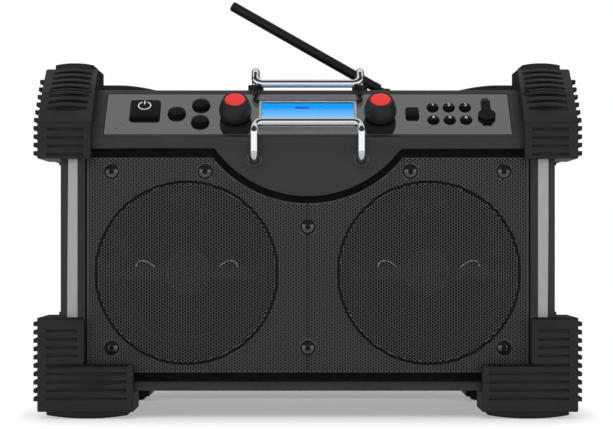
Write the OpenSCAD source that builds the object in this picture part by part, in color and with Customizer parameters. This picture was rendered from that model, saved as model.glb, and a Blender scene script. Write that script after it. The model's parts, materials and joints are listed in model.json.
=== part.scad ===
// Jobsite radio: a rubber-cornered cabinet with two coaxial speakers behind one perforated grille,
// a sloping control panel, two chromed guard bars, a rubber aerial and a rear battery bay.
// Millimetres. X runs to the right, the front faces -Y and Z is up.
// The origin lies on the floor, under the middle of the radio.

/* [Cabinet] */
// Width across the side walls
cabinet_w = 480; // [460:2:560]
// Depth from the front frame to the rear cover
cabinet_d = 236; // [226:2:290]
// Height of the underside above the floor
cabinet_base = 26.5; // [22:0.5:36]
// Height of the flat top above the floor
cabinet_top = 322.5; // [318:0.5:345]
// Height of the front edge where the sloping panel starts
panel_edge = 273; // [268:0.5:280]
// Angle of the sloping panel from level
panel_angle = 41; // [36:0.5:46]
// Wall thickness of the moulded cabinet
wall = 4; // [3:0.5:5]

/* [Front] */
// Depth of the front frame
frame_t = 12; // [11:0.5:16]
// Width of the frame's side posts beside the grille
post_w = 23.5; // [20:0.5:30]
// Height of the frame's bar above the grille
top_bar_h = 11.5; // [10:0.5:14]
// Height of the frame's bar below the grille
bottom_bar_h = 9; // [8:0.5:14]
// Width of the bevel on the posts' inner edges
post_bevel = 7.3; // [4:0.1:9]
// Width of each aluminium trim strip
strip_w = 10; // [6:0.5:12]
// Distance of a trim strip from the post's outer edge
strip_inset = 6.4; // [5:0.2:6.4]
// Radius of the round apron below the panel
apron_r = 112; // [100:1:125]
// How far the apron reaches below the frame's top bar
apron_drop = 46.3; // [40:0.1:55]
// Depth of the grille's face behind the frame's face
grille_recess = 6; // [4:0.5:7]
// Thickness of the grille sheet
grille_t = 1.2; // [0.8:0.1:1.5]
// Dark gap above and below the grille
grille_gap_z = 8.5; // [4:0.5:10]
// Dark gap round the apron
grille_gap_apron = 6.5; // [4:0.5:9]
// Thickness of the speaker baffle
baffle_t = 10; // [8:0.5:14]

/* [Speakers] */
// Distance between the speakers' centres
speaker_spacing = 236; // [200:2:240]
// Height of the speakers' centres above the underside
speaker_height = 114.5; // [100:0.5:122]
// Radius of the speaker opening in the baffle
speaker_r = 78; // [74:1:80]
// Depth of the steel speaker frame
basket_depth = 52; // [46:1:60]
// Radius of the magnet
magnet_r = 42; // [36:1:48]
// How far the cone moves each way
cone_travel = 3; // [1:0.5:3]

/* [Control panel] */
// Width of the panel plate
plate_w = 397.5; // [390:0.5:410]
// Length of the panel plate up the slope
plate_len = 65; // [64:0.5:68]
// Thickness of the panel plate
plate_t = 2; // [1.5:0.1:2.5]
// Distance of the plate from the slope's front edge
plate_start = 4; // [3:0.5:5]
// Diameter of the knobs at their widest
knob_d = 32; // [28:0.5:34]
// Height of the knobs above the panel
knob_h = 22; // [18:0.5:26]
// Distance between the knobs' axes
knob_spacing = 142; // [136:1:150]
// Distance of the knobs up the slope
knob_v = 31.5; // [28:0.5:33]
// Diameter of the knobs' stems
shaft_d = 6; // [5:0.5:6]
// Width of the display lens
lens_w = 96; // [88:0.5:100]
// Length of the display lens up the slope
lens_len = 46; // [44:0.5:48]
// Diameter of the three round function buttons
round_d = 17.3; // [15:0.1:18]
// Diameter of the six preset buttons
preset_d = 11.3; // [9:0.1:12]
// Spacing of the preset buttons along a row
preset_pitch = 16; // [14:0.5:16.5]
// Height of the large buttons above the panel
button_h = 3.4; // [2.4:0.1:4]
// Height of the preset buttons above the panel
preset_h = 2.4; // [2:0.1:3]
// How far a button is pressed
button_travel = 1.2; // [0.6:0.1:1.5]

/* [Guard bars] */
// Diameter of the chromed rod
rod_d = 8; // [6:0.5:9]
// Distance between a bar's two legs
bar_w = 104; // [96:1:106]
// Bend radius of the rod's centre line
rod_bend = 8; // [6:0.5:8.5]
// Reach of the front bar before the frame
bar_reach = 10; // [9:0.5:14]

/* [Bumpers] */
// Thickness of the bumpers on the sides
bumper_side = 21; // [16:0.5:24]
// Thickness of the bumpers on the front and the rear
bumper_face = 14; // [11:0.5:18]
// Width of a bumper's upright leg
leg_w = 45; // [40:0.5:50]
// Length of a lower bumper's foot across the face
foot_w = 93; // [84:0.5:100]
// Depth of a bumper's upright leg on the side
leg_depth = 89; // [80:0.5:94]
// Height of the lower bumpers' legs above the floor
lower_leg_top = 98; // [90:0.5:110]
// Height of the lower bumpers' feet above the floor
foot_top = 52.5; // [46:0.5:58]
// Height of the upper bumpers' lower ends above the floor
upper_leg_end = 251.5; // [240:0.5:256]
// Height of the pads that stand proud of the bumpers
pad_h = 7; // [4:0.5:9]
// Reach of the side fins beyond the bumpers
fin_reach = 5; // [3:0.5:6]
// Spacing of the ribs and fins
rib_pitch = 8.1; // [7:0.1:9]

/* [Aerial] */
// Length of the rubber aerial from its hinge
aerial_len = 190; // [150:1:220]
// Diameter of the rubber aerial
aerial_d = 10.6; // [9:0.1:12]
// Angle of the aerial above level at rest
aerial_angle = 29.6; // [20:0.1:60]
// Place of the aerial to the right of the middle
aerial_x = 84; // [78:1:90]

/* [Battery bay] */
// Diameter of a battery cell
cell_d = 33; // [32:0.5:34]
// Length of a battery cell
cell_len = 60; // [58:0.5:61]
// Number of cells in each of the two rows
cells_per_row = 4; // [2:1:4]

/* [Hidden] */
$fn = 64;

// Clearances
fit = 0.3;            // between neighbouring pieces
running = 0.05;       // radial, between a shaft and its bore
past = 1;             // how far a cutting shape reaches past what it cuts

// Cabinet
half_w = cabinet_w / 2;
y_front = -cabinet_d / 2;
y_back = cabinet_d / 2;
slope_run = (cabinet_top - panel_edge) / tan(panel_angle);
slope_len = (cabinet_top - panel_edge) / sin(panel_angle);
inner_w = cabinet_w - 2 * wall;

// Front opening
open_x = half_w - post_w;
open_top = panel_edge - top_bar_h;
open_bottom = cabinet_base + bottom_bar_h;
apron_z = open_top - apron_drop + apron_r;
grille_face = y_front + grille_recess;
baffle_face = grille_face + grille_t + 0.8;
baffle_back = baffle_face + baffle_t;
baffle_x = open_x + 10;
baffle_low = open_bottom - 4;
baffle_high = open_top + 5;
frame_back = y_front + frame_t;
grille_x = open_x - 1.5;
grille_low = open_bottom + grille_gap_z;
grille_high = open_top - grille_gap_z;
rim_w = 3;            // width of the rim that is folded back at the grille's edge

// Grille screws
screw_edge_x = open_x - 25.5;
screw_mid_x = 100;
screw_high = open_top - 22;
screw_low = open_bottom + 32.2;
screw_centre_z = open_top - apron_drop - 29.5;
grille_screw_places = [
  [-screw_edge_x, screw_high], [-screw_mid_x, screw_high], [screw_mid_x, screw_high],
  [screw_edge_x, screw_high], [0, screw_centre_z], [-screw_edge_x, screw_low], [0, screw_low],
  [screw_edge_x, screw_low]
];
grille_screw_r = 1.6;
grille_screw_head_r = 5.6;
grille_cup_r = 6.6;   // radius of the plain boss round each grille screw

// Speakers
speaker_x = speaker_spacing / 2;
speaker_z = cabinet_base + speaker_height;
flange_r = speaker_r + 12;
flange_t = 3;
surround_r = 70;      // outer radius of the moving roll
roll_r = 3.5;         // radius of the half round roll
cone_r = surround_r - 2 * roll_r - 0.5;
coil_r = 16;          // middle radius of the voice coil
tweeter_r = 22;
bridge_w = 12;

// Panel
board_drop = 9;       // depth of the board's face below the panel's face
board_t = 1.6;
hidden_stop = 0.2;    // play between a button's flange and the plate
board_w = 366;
board_v0 = 17;
board_v1 = 60;
cavity_v0 = 9;
cavity_v1 = 62;
cavity_w = 384;
lens_v = 34.3;
lens_t = 1.2;
window_w = 91;
window_v0 = 17;
window_v1 = 56;
power_w = 29;
power_len = 29.5;
alarm_w = 12.4;
alarm_len = 15.2;
power_place = [-160.3, 41];
alarm_place = [102.8, 36.4];
mode_place = [-128.9, 36.4];
band_place = [-105.4, 49.8];
tone_place = [-105.4, 22.9];
preset_centre = [139.2, 36.7];
preset_rows = 20;     // distance between the two rows
light_places = [[-180.7, 21.5], [-187, 14.5]];
light_r = 1.5;
aux_place = [175.8, 32];
aux_r = 8.7;
aux_jack_r = 1.8;
aux_hinge_v = 56;
knob_lift = 1.2;      // gap below the knobs
knob_cap_r = 9.8;
bush_r = 4.5;
bush_h = 0.8;         // height of an encoder's bush above the panel
stem_r = shaft_d / 2;
journal_r = 2;
plunger_top = -board_drop + 4.4;
post_places = [
  [-180, 56], [-60, 59], [60, 59], [113, 59], [-150, 17.5], [-72, 18], [72, 18], [165, 17.5]
];

// Guard bars
bar_x = bar_w / 2;
front_leg_z = open_top - 10.5;
front_bar_lift = 11;  // height of the front cross bar above the panel's face
front_bar_slant = 1.5;
rear_leg_y = y_front + slope_run + 9;
rear_bar_rise = 22;   // height of the rear bar's highest point above the top
rear_bar_slope = 50;  // angle below level of its sloping part
rear_bar_len = 4.5;   // straight length of its sloping part
socket_r = 7.7;
socket_h = 2.5;
rod_root = 8;         // length of rod held inside the cabinet
rod_lap = 0.5;        // reach of a straight length's core into the bends

// Bumpers
bumper_x = half_w + bumper_side;
face_y = cabinet_d / 2 + bumper_face;
body_top = cabinet_top + bumper_side;
upper_leg_in = bumper_x - 51.7;
lower_leg_in = bumper_x - leg_w;
foot_in = bumper_x - foot_w;
foot_depth = 65;      // depth of the foot's inner end
middle_gap = 4;       // gap between the front and the rear bumpers
rear_drop = 12;       // the rear upper bumpers are this much lower
rear_foot_in = foot_in - 9;
rib_depth = 2;
rib_gap = 2.6;
fin_t = 4.4;
fin_start = -face_y + 10;
fin_end = -face_y + leg_depth - 6;
pad_in = foot_in + 6;
pad_out = bumper_x - 8;
pad_side_out = bumper_x - 8.6;
pad_side_in = upper_leg_in + 5;
slope_knee = [36, 32];    // from the upper bumper's front edge to the knee of its slope
slope_head = [72, 57.5];  // and to its highest edge
low_lean = atan2(slope_knee[1], slope_knee[0]);
high_lean = atan2(slope_head[1] - slope_knee[1], slope_head[0] - slope_knee[0]);
crown = 2.4;          // rise of the crowned ribs on the slopes
crown_gap = 4.6;      // width of the grooves between them
low_groove = 21.5;    // distance of the lowest of these grooves up the slope

// Aerial
aerial_y = y_front + 200;
aerial_hinge_z = cabinet_top + 7;
turret_r = 11;
turret_h = 3;
fork_w = 15;
aerial_pin_r = 1.8;
aerial_eye_w = 6;
aerial_root = 16;     // length of the metal ferrule

// Battery bay
bay_wall = 2;
bay_w = cells_per_row * (cell_len + 1) + 4;
bay_low = cabinet_base + 21;
bay_h = 2 * cell_d + 4;
bay_depth = cell_d + 5;
door_w = bay_w + 8;
door_low = bay_low - 4;
door_t = 3;
door_h = bay_h + 8;
door_pin_r = 1;
door_pin_len = 4;
door_hinge_y = y_back - door_t / 2;

// Rear cover
cover_t = 6;
cover_x = half_w - wall - fit;
cover_low = cabinet_base + wall + fit;
cover_high = cabinet_top - wall - fit;
cover_face = y_back;
cover_in = y_back - cover_t;
case_screw_x = cover_x - 10;
case_screw_places = [
  [-case_screw_x, cover_low + 10], [case_screw_x, cover_low + 10],
  [-case_screw_x, cover_high - 10], [case_screw_x, cover_high - 10],
  [-case_screw_x, 175], [case_screw_x, 175]
];
boss_r = 5;
boss_len = 20;
inlet_place = [-175, 150];
inlet_w = 30;
inlet_h = 22;
inlet_depth = 24;

// Side grips
grip_w = 84;
grip_h = 38;
grip_z = 205;
grip_depth = 26;
grip_wall = 2.5;

// ---------------------------------------------------------------- helpers

// A box between two opposite corners
module box(low, high) {
  translate(low) cube(high - low);
}

// An outline in Y and Z, carried across the width w
module across(w) {
  rotate([90, 0, 90]) linear_extrude(w, center = true) children();
}

// An outline in Y and Z, carried from x0 to x1
module between(x0, x1) {
  translate([x0, 0, 0]) rotate([90, 0, 90]) linear_extrude(x1 - x0) children();
}

// An outline in X and Z, carried from y0 to y1
module along(y0, y1) {
  translate([0, y1, 0]) rotate([90, 0, 0]) linear_extrude(y1 - y0) children();
}

// A round rod along Y
module rod_y(x, z, r, y0, y1) {
  translate([x, y1, z]) rotate([90, 0, 0]) cylinder(r = r, h = y1 - y0);
}

// Places its children on the sloping panel: X across, Y up the slope and Z out of its face
module on_panel() {
  translate([0, y_front, panel_edge]) rotate([panel_angle, 0, 0]) children();
}

// Places its children at a speaker: Z runs backwards from the back of the baffle
module at_speaker(side) {
  translate([side * speaker_x, baffle_back, speaker_z]) rotate([-90, 0, 0]) children();
}

// Both sides of the radio
module both_sides() {
  children();
  mirror([1, 0, 0]) children();
}

// ---------------------------------------------------------------- cabinet

// Outline of the cabinet seen from the side
module cabinet_outline() {
  polygon([
    [y_front, cabinet_base], [y_front, panel_edge], [y_front + slope_run, cabinet_top],
    [y_back, cabinet_top], [y_back, cabinet_base]
  ]);
}

// The same outline, drawn in by the wall and open at both ends
module cabinet_inner_outline() {
  lift = panel_edge - wall * cos(panel_angle);
  start = y_front + wall * sin(panel_angle);
  ceiling = cabinet_top - wall;
  floor_z = cabinet_base + wall;
  polygon([
    [y_front - past, floor_z],
    [y_front - past, lift - (start - y_front + past) * tan(panel_angle)],
    [start + (ceiling - lift) / tan(panel_angle), ceiling],
    [y_back + past, ceiling],
    [y_back + past, floor_z]
  ]);
}

// Shallow recess that the panel plate lies in
module panel_recess() {
  on_panel() box(
    [-plate_w / 2 - fit, plate_start - fit, -plate_t],
    [plate_w / 2 + fit, plate_start + plate_len + fit, past]
  );
}

// Space below the plate for the buttons, the display and their board
module panel_cavity() {
  on_panel() box([-cavity_w / 2, cavity_v0, -22], [cavity_w / 2, cavity_v1, past]);
}

// Bosses inside the rear edge that the case screws go into
module case_bosses() {
  for (p = case_screw_places) {
    inward = p[0] > 0 ? 1 : -1;
    difference() {
      union() {
        rod_y(p[0], p[1], boss_r, cover_in - boss_len, cover_in);
        box(
          [min(p[0], inward * (half_w - wall / 2)), cover_in - boss_len, p[1] - boss_r],
          [max(p[0], inward * (half_w - wall / 2)), cover_in, p[1] + boss_r]
        );
      }
      rod_y(p[0], p[1], 1.7, cover_in - boss_len + 4, cover_in + past);
    }
  }
}

// Cut in the side wall for a grip
module grip_cut(room) {
  both_sides() box(
    [half_w - grip_depth - room, -grip_w / 2 - room, grip_z - grip_h / 2 - room],
    [half_w + past, grip_w / 2 + room, grip_z + grip_h / 2 + room]
  );
}

module main_housing() {
  color("#2b2c2e") {
    difference() {
      across(cabinet_w) cabinet_outline();
      across(inner_w) cabinet_inner_outline();
      box([-half_w - past, y_front - past, 0], [half_w + past, frame_back, cabinet_top + past]);
      panel_recess();
      panel_cavity();
      grip_cut(0);
      both_sides() {
        translate([bar_x, rear_leg_y, cabinet_top - wall - past])
          cylinder(r = rod_d / 2 + running, h = wall + 2 * past);
      }
      translate([aerial_x, aerial_y, cabinet_top - wall - past])
        cylinder(r = 5 + running, h = wall + 2 * past);
    }
    case_bosses();
  }
}

// Outline of the front opening, with the apron hanging into it
module front_opening() {
  difference() {
    translate([-open_x, open_bottom]) square([2 * open_x, open_top - open_bottom]);
    translate([0, apron_z]) circle(r = apron_r, $fn = 128);
  }
}

// Bevel on the inner edge of a side post
module post_bevel_cut() {
  translate([0, 0, open_bottom]) linear_extrude(open_top - open_bottom) polygon([
    [open_x - past, y_front - past], [open_x - past, grille_face],
    [open_x, grille_face], [open_x + post_bevel, y_front],
    [open_x + post_bevel, y_front - past]
  ]);
}

// Groove in a side post for the trim strip
module strip_groove() {
  box(
    [half_w - strip_inset - strip_w, y_front - past, open_bottom],
    [half_w - strip_inset, y_front + 2, open_top]
  );
}

module front_frame() {
  color("#3a3b3c") difference() {
    intersection() {
      across(cabinet_w) cabinet_outline();
      box([-half_w, y_front, cabinet_base], [half_w, frame_back, cabinet_top]);
    }
    along(y_front - past, frame_back + past) front_opening();
    both_sides() post_bevel_cut();
    both_sides() strip_groove();
    box(
      [-baffle_x - fit, baffle_face, baffle_low - fit],
      [baffle_x + fit, frame_back + past, baffle_high + fit]
    );
    panel_recess();
    panel_cavity();
    both_sides() rod_y(bar_x, front_leg_z, rod_d / 2 + running, y_front - past, frame_back + past);
  }
}

module trim_strips() {
  color("#9a9c9e") both_sides() box(
    [half_w - strip_inset - strip_w, y_front, open_bottom],
    [half_w - strip_inset, y_front + 2, open_top]
  );
}

module speaker_baffle() {
  color("#161616") difference() {
    box([-baffle_x, baffle_face, baffle_low], [baffle_x, baffle_back, baffle_high]);
    for (side = [-1, 1]) {
      rod_y(side * speaker_x, speaker_z, speaker_r, baffle_face - past, baffle_back + past);
    }
    for (p = grille_screw_places) {
      rod_y(p[0], p[1], grille_screw_r + running, baffle_face - past, baffle_back + past);
    }
    both_sides() rod_y(bar_x, front_leg_z, rod_d / 2 + running, baffle_face - past, baffle_back + past);
  }
}

// Outline of the grille sheet, drawn in by an inset
module grille_outline(inset) {
  difference() {
    translate([-grille_x + inset, grille_low + inset])
      square([2 * (grille_x - inset), grille_high - grille_low - 2 * inset]);
    translate([0, apron_z]) circle(r = apron_r + grille_gap_apron + inset, $fn = 128);
  }
}

module speaker_grille() {
  color("#3c3d3e") difference() {
    union() {
      along(grille_face, grille_face + grille_t) grille_outline(0);
      difference() {
        along(grille_face, baffle_face) grille_outline(0);
        along(grille_face - past, baffle_face + past) grille_outline(rim_w);
      }
      for (p = grille_screw_places) {
        rod_y(p[0], p[1], grille_cup_r, grille_face - 0.4, baffle_face);
      }
    }
    for (p = grille_screw_places) {
      rod_y(p[0], p[1], grille_screw_r + running, grille_face - past, baffle_face + past);
    }
  }
}

// A domed screw that points backwards from its seat at y
module dome_screw(x, z, y, head_r, head_h, shank_r, shank_len) {
  translate([x, y, z]) rotate([90, 0, 0]) {
    intersection() {
      sphere_r = (head_r * head_r + head_h * head_h) / (2 * head_h);
      translate([0, 0, head_h - sphere_r]) sphere(r = sphere_r);
      cylinder(r = head_r, h = head_h + past);
    }
    translate([0, 0, -shank_len]) cylinder(r = shank_r, h = shank_len + 0.1);
  }
}

module grille_screws() {
  color("#1b1b1c") for (p = grille_screw_places) {
    dome_screw(p[0], p[1], grille_face - 0.4, grille_screw_head_r, 2.4, grille_screw_r, 9);
  }
}

// ---------------------------------------------------------------- rear

module rear_cover() {
  color("#2b2c2e") difference() {
    union() {
      box([-cover_x, cover_in, cover_low], [cover_x, cover_face, cover_high]);
      box(
        [-bay_w / 2 - bay_wall, y_back - bay_depth - bay_wall, bay_low - bay_wall],
        [bay_w / 2 + bay_wall, cover_in + past, bay_low + bay_h + bay_wall]
      );
    }
    box([-bay_w / 2, y_back - bay_depth, bay_low], [bay_w / 2, y_back + past, bay_low + bay_h]);
    box(
      [-door_w / 2 - fit, y_back - door_t - fit, door_low - fit],
      [door_w / 2 + fit, y_back + past, door_low + door_h + fit]
    );
    for (side = [-1, 1]) {
      translate([side * (door_w / 2 + door_pin_len / 2), door_hinge_y, door_low + door_t / 2])
        rotate([0, 90, 0]) cylinder(r = door_pin_r + running, h = door_pin_len + 2, center = true);
    }
    for (p = case_screw_places) {
      rod_y(p[0], p[1], 2.2, cover_in - past, cover_face + past);
      rod_y(p[0], p[1], 4.2, cover_face - 2.5, cover_face + past);
    }
    box(
      [inlet_place[0] - inlet_w / 2 - fit, cover_in - past, inlet_place[1] - inlet_h / 2 - fit],
      [inlet_place[0] + inlet_w / 2 + fit, cover_face + past, inlet_place[1] + inlet_h / 2 + fit]
    );
  }
}

module case_screws() {
  color("#8d8f92") for (p = case_screw_places) {
    translate([p[0], cover_face - 2.5, p[1]]) rotate([90, 0, 0]) {
      difference() {
        translate([0, 0, -2.2]) cylinder(r = 3.8, h = 2.2);
        translate([0, 0, -3.2]) cylinder(r = 1.4, h = 2.4, $fn = 6);
      }
      translate([0, 0, -0.1]) cylinder(r = 1.65, h = 14);
    }
  }
}

module battery_door() {
  color("#303133") {
    difference() {
      union() {
        box(
          [-door_w / 2, y_back - door_t, door_low + door_t / 2],
          [door_w / 2, y_back, door_low + door_h]
        );
        translate([0, door_hinge_y, door_low + door_t / 2])
          rotate([0, 90, 0]) cylinder(r = door_t / 2, h = door_w, center = true);
      }
      for (z = [0 : 4]) {
        box(
          [-16, y_back - 0.8, door_low + door_h - 16 + 2.6 * z],
          [16, y_back + past, door_low + door_h - 14.8 + 2.6 * z]
        );
      }
    }
    for (side = [-1, 1]) {
      translate([side * (door_w / 2 + door_pin_len / 2), door_hinge_y, door_low + door_t / 2])
        rotate([0, 90, 0]) cylinder(r = door_pin_r, h = door_pin_len, center = true);
    }
  }
}

module battery_cells() {
  for (row = [0, 1], i = [0 : cells_per_row - 1]) {
    x = (i - (cells_per_row - 1) / 2) * (cell_len + 1);
    z = bay_low + 2 + cell_d / 2 + row * cell_d;
    color("#6f7478") translate([x, y_back - bay_depth + 0.2 + cell_d / 2, z]) rotate([0, 90, 0]) {
      cylinder(r = cell_d / 2 - 0.2, h = cell_len - 2, center = true);
      cylinder(r = 4.6, h = cell_len, center = true);
    }
  }
}

module mains_inlet() {
  x = inlet_place[0];
  z = inlet_place[1];
  color("#1c1c1d") {
    difference() {
      union() {
        box(
          [x - inlet_w / 2, cover_face - inlet_depth, z - inlet_h / 2],
          [x + inlet_w / 2, cover_face, z + inlet_h / 2]
        );
        box(
          [x - inlet_w / 2 - 5, cover_face, z - inlet_h / 2 - 3],
          [x + inlet_w / 2 + 5, cover_face + 2, z + inlet_h / 2 + 3]
        );
      }
      box([x - 10.5, cover_face - 17, z - 6], [x + 10.5, cover_face + 2 + past, z + 6]);
    }
    for (side = [-1, 1]) rod_y(x + side * 4.3, z, 1.15, cover_face - 18, cover_face - 4);
  }
}

module side_grips() {
  color("#1f2021") both_sides() difference() {
    union() {
      box(
        [half_w - grip_depth + 0.1, -grip_w / 2 + 0.1, grip_z - grip_h / 2 + 0.1],
        [half_w, grip_w / 2 - 0.1, grip_z + grip_h / 2 - 0.1]
      );
      box(
        [half_w, -grip_w / 2 - 4, grip_z - grip_h / 2 - 4],
        [half_w + 2, grip_w / 2 + 4, grip_z + grip_h / 2 + 4]
      );
    }
    box(
      [half_w - grip_depth + grip_wall, -grip_w / 2 + grip_wall, grip_z - grip_h / 2 + grip_wall],
      [half_w + 2 + past, grip_w / 2 - grip_wall, grip_z + grip_h / 2 - grip_wall]
    );
  }
}

// ---------------------------------------------------------------- speakers

module speaker_frame() {
  color("#3d3f42") difference() {
    rotate_extrude() polygon([
      [surround_r + 1, 0], [flange_r, 0], [flange_r, flange_t], [surround_r + 6, flange_t],
      [magnet_r + 2, basket_depth], [magnet_r - 4, basket_depth + 2.5], [coil_r + 2, basket_depth + 2.5],
      [coil_r + 2, basket_depth], [magnet_r - 1, basket_depth], [surround_r + 2, flange_t + 1],
      [surround_r + 1, flange_t]
    ]);
    for (a = [0, 90, 180, 270]) {
      rotate([0, 0, a + 45]) box([25, -18, flange_t + 8], [flange_r, 18, basket_depth - 4]);
    }
    for (a = [0, 90, 180, 270]) {
      rotate([0, 0, a + 45]) translate([flange_r - 5.5, 0, -past]) cylinder(r = 2.2, h = flange_t + 2 * past);
    }
  }
}

module left_speaker_frame() {
  at_speaker(-1) speaker_frame();
}

module right_speaker_frame() {
  at_speaker(1) speaker_frame();
}

// Paper cone with its neck and voice coil former, as one moving piece
module speaker_cone() {
  color("#1d1d1f") rotate_extrude() polygon([
    [cone_r + 2.5, 0.05], [cone_r + 2.5, 1.2], [cone_r, 1.2], [coil_r + 0.6, 30],
    [coil_r + 0.6, basket_depth + 4],
    [coil_r - 0.6, basket_depth + 4], [coil_r - 0.6, 29], [cone_r - 1, 0.05]
  ]);
}

module left_speaker_cone() {
  at_speaker(-1) speaker_cone();
}

module right_speaker_cone() {
  at_speaker(1) speaker_cone();
}

// Rubber roll that joins the cone to the frame's flange
module surround() {
  middle = surround_r - roll_r;
  outer = [for (a = [0 : 15 : 180]) [middle + roll_r * cos(a), -0.6 - roll_r * sin(a)]];
  inner = [for (a = [180 : -15 : 0]) [middle + (roll_r - 0.6) * cos(a), -roll_r * 0.83 * sin(a)]];
  rotate_extrude() polygon(concat(
    [[surround_r + 5, 0], [surround_r + 5, -0.6]], outer,
    [[cone_r - 1, -0.6], [cone_r - 1, 0]], inner
  ));
}

module speaker_suspensions() {
  color("#151515") for (side = [-1, 1]) at_speaker(side) surround();
}

// Magnet ring, back plate and pole of both drivers
module speaker_magnets() {
  front = basket_depth + 2.5;
  color("#55585c") for (side = [-1, 1]) at_speaker(side) rotate_extrude() polygon([
    [coil_r + 2, front], [magnet_r, front], [magnet_r, front + 15], [magnet_r - 6, front + 15],
    [magnet_r - 6, front + 20], [0, front + 20], [0, front - 2], [coil_r - 1.8, front - 2],
    [coil_r - 1.8, front + 12], [coil_r + 2, front + 12]
  ]);
}

// Tweeter on its bridge across the front of the cone
module tweeter() {
  low = -baffle_t + 0.4;
  color("#26272a") {
    difference() {
      union() {
        translate([0, 0, low]) cylinder(r = tweeter_r, h = 12);
        box([-speaker_r + 0.4, -bridge_w / 2, low], [speaker_r - 0.4, bridge_w / 2, low + 1.6]);
      }
      difference() {
        translate([0, 0, low - past]) cylinder(r = tweeter_r - 3, h = past + 3);
        translate([0, 0, low + 3 - 14]) sphere(r = 14 + 2);
      }
      for (side = [-1, 1]) {
        difference() {
          box([side * 60 - 30, -bridge_w, low - past], [side * 60 + 30, bridge_w, low + 3]);
          cylinder(r = speaker_r - 0.4, h = 60, center = true);
        }
      }
    }
    for (side = [-1, 1]) {
      intersection() {
        box(
          [side * (speaker_r - 1) - 1.2, -bridge_w / 2, low],
          [side * (speaker_r - 1) + 1.2, bridge_w / 2, 0]
        );
        cylinder(r = speaker_r - 0.4, h = 60, center = true);
      }
    }
  }
}

module left_tweeter() {
  at_speaker(-1) tweeter();
}

module right_tweeter() {
  at_speaker(1) tweeter();
}

// ---------------------------------------------------------------- panel

// A round cut through the panel plate
module plate_hole(place, r) {
  translate([place[0], place[1], -plate_t - past]) cylinder(r = r, h = plate_t + 2 * past);
}

// A square cut through the panel plate
module plate_window(place, w, len) {
  box(
    [place[0] - w / 2, place[1] - len / 2, -plate_t - past],
    [place[0] + w / 2, place[1] + len / 2, past]
  );
}

function preset_place(i) = [
  preset_centre[0] + ((i - 1) % 3 - 1) * preset_pitch,
  preset_centre[1] + (i <= 3 ? 0.5 : -0.5) * preset_rows
];

module control_panel() {
  color("#6c6e70") on_panel() {
    difference() {
      box([-plate_w / 2, plate_start, -plate_t], [plate_w / 2, plate_start + plate_len, 0]);
      plate_window(power_place, power_w + 2 * fit, power_len + 2 * fit);
      plate_window(alarm_place, alarm_w + 2 * fit, alarm_len + 2 * fit);
      for (p = [mode_place, band_place, tone_place]) plate_hole(p, round_d / 2 + fit);
      for (i = [1 : 6]) plate_hole(preset_place(i), preset_d / 2 + fit);
      for (p = light_places) plate_hole(p, light_r + running);
      plate_hole([aux_place[0], aux_place[1]], 4.2);
      for (side = [-1, 1]) plate_hole([side * knob_spacing / 2, knob_v], bush_r + running);
      box([-window_w / 2, window_v0, -plate_t - past], [window_w / 2, window_v1, past]);
      box([aux_place[0] - 3, aux_hinge_v + 2, -1], [aux_place[0] + 3, aux_hinge_v + 6, past]);
    }
    for (p = post_places) {
      translate([p[0], p[1], -board_drop]) cylinder(r = 1.4, h = board_drop - plate_t + 0.1);
    }
  }
}

// Circuit board below the panel, with a switch under each button
module control_board() {
  color("#1f5a3a") on_panel() {
    difference() {
      box([-board_w / 2, board_v0 - 1, -board_drop - board_t], [board_w / 2, board_v1, -board_drop]);
      translate([aux_place[0], aux_place[1], -board_drop - 2]) cylinder(r = 6, h = 4);
    }
    for (p = [power_place, alarm_place, mode_place, band_place, tone_place]) {
      switch(p);
    }
    for (i = [1 : 6]) switch(preset_place(i));
  }
}

module switch(place) {
  translate([place[0], place[1], -board_drop - 0.1]) cylinder(r = 2, h = 2.1);
}

// A round button with a flange below the plate and a stem over its switch
module round_button(place, d, h) {
  on_panel() translate([place[0], place[1], 0]) rotate_extrude() polygon([
    [0, h], [d / 2 - 0.8, h], [d / 2, h - 0.8], [d / 2, -plate_t - hidden_stop],
    [d / 2 + 1.1, -plate_t - hidden_stop], [d / 2 + 1.1, -plate_t - 1.2], [1.8, -plate_t - 1.2],
    [1.8, -board_drop + 2 + button_travel + fit], [0, -board_drop + 2 + button_travel + fit]
  ]);
}

// A rectangular button, made the same way
module square_button(place, w, len) {
  on_panel() translate([place[0], place[1], 0]) {
    box([-w / 2, -len / 2, -plate_t - 1.2], [w / 2, len / 2, button_h]);
    box(
      [-w / 2 - 1, -len / 2 - 1, -plate_t - 1.2],
      [w / 2 + 1, len / 2 + 1, -plate_t - hidden_stop]
    );
    translate([0, 0, -board_drop + 2 + button_travel + fit])
      cylinder(r = 1.8, h = board_drop - plate_t - 3 - button_travel - fit);
  }
}

module power_button() {
  color("#1a1a1b") square_button(power_place, power_w, power_len);
}

module alarm_button() {
  color("#1a1a1b") square_button(alarm_place, alarm_w, alarm_len);
}

module mode_button() {
  color("#1a1a1b") round_button(mode_place, round_d, button_h);
}

module band_button() {
  color("#1a1a1b") round_button(band_place, round_d, button_h);
}

module tone_button() {
  color("#1a1a1b") round_button(tone_place, round_d, button_h);
}

module preset_button(i) {
  color("#1a1a1b") round_button(preset_place(i), preset_d, preset_h);
}

module status_lights() {
  on_panel() {
    color("#3b6fe0") translate([light_places[0][0], light_places[0][1], -4]) cylinder(r = light_r, h = 4.3);
    color("#a8a648") translate([light_places[1][0], light_places[1][1], -4]) cylinder(r = light_r, h = 4.3);
  }
}

module display_lens() {
  color("#9fb4c8") on_panel()
    box([-lens_w / 2, lens_v - lens_len / 2, 0], [lens_w / 2, lens_v + lens_len / 2, lens_t]);
}

module display_module() {
  color("#2f8fe8") on_panel()
    box([-window_w / 2 - 2, window_v0 - 0.5, -board_drop], [window_w / 2 + 2, window_v1 + 2, -plate_t]);
}

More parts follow.
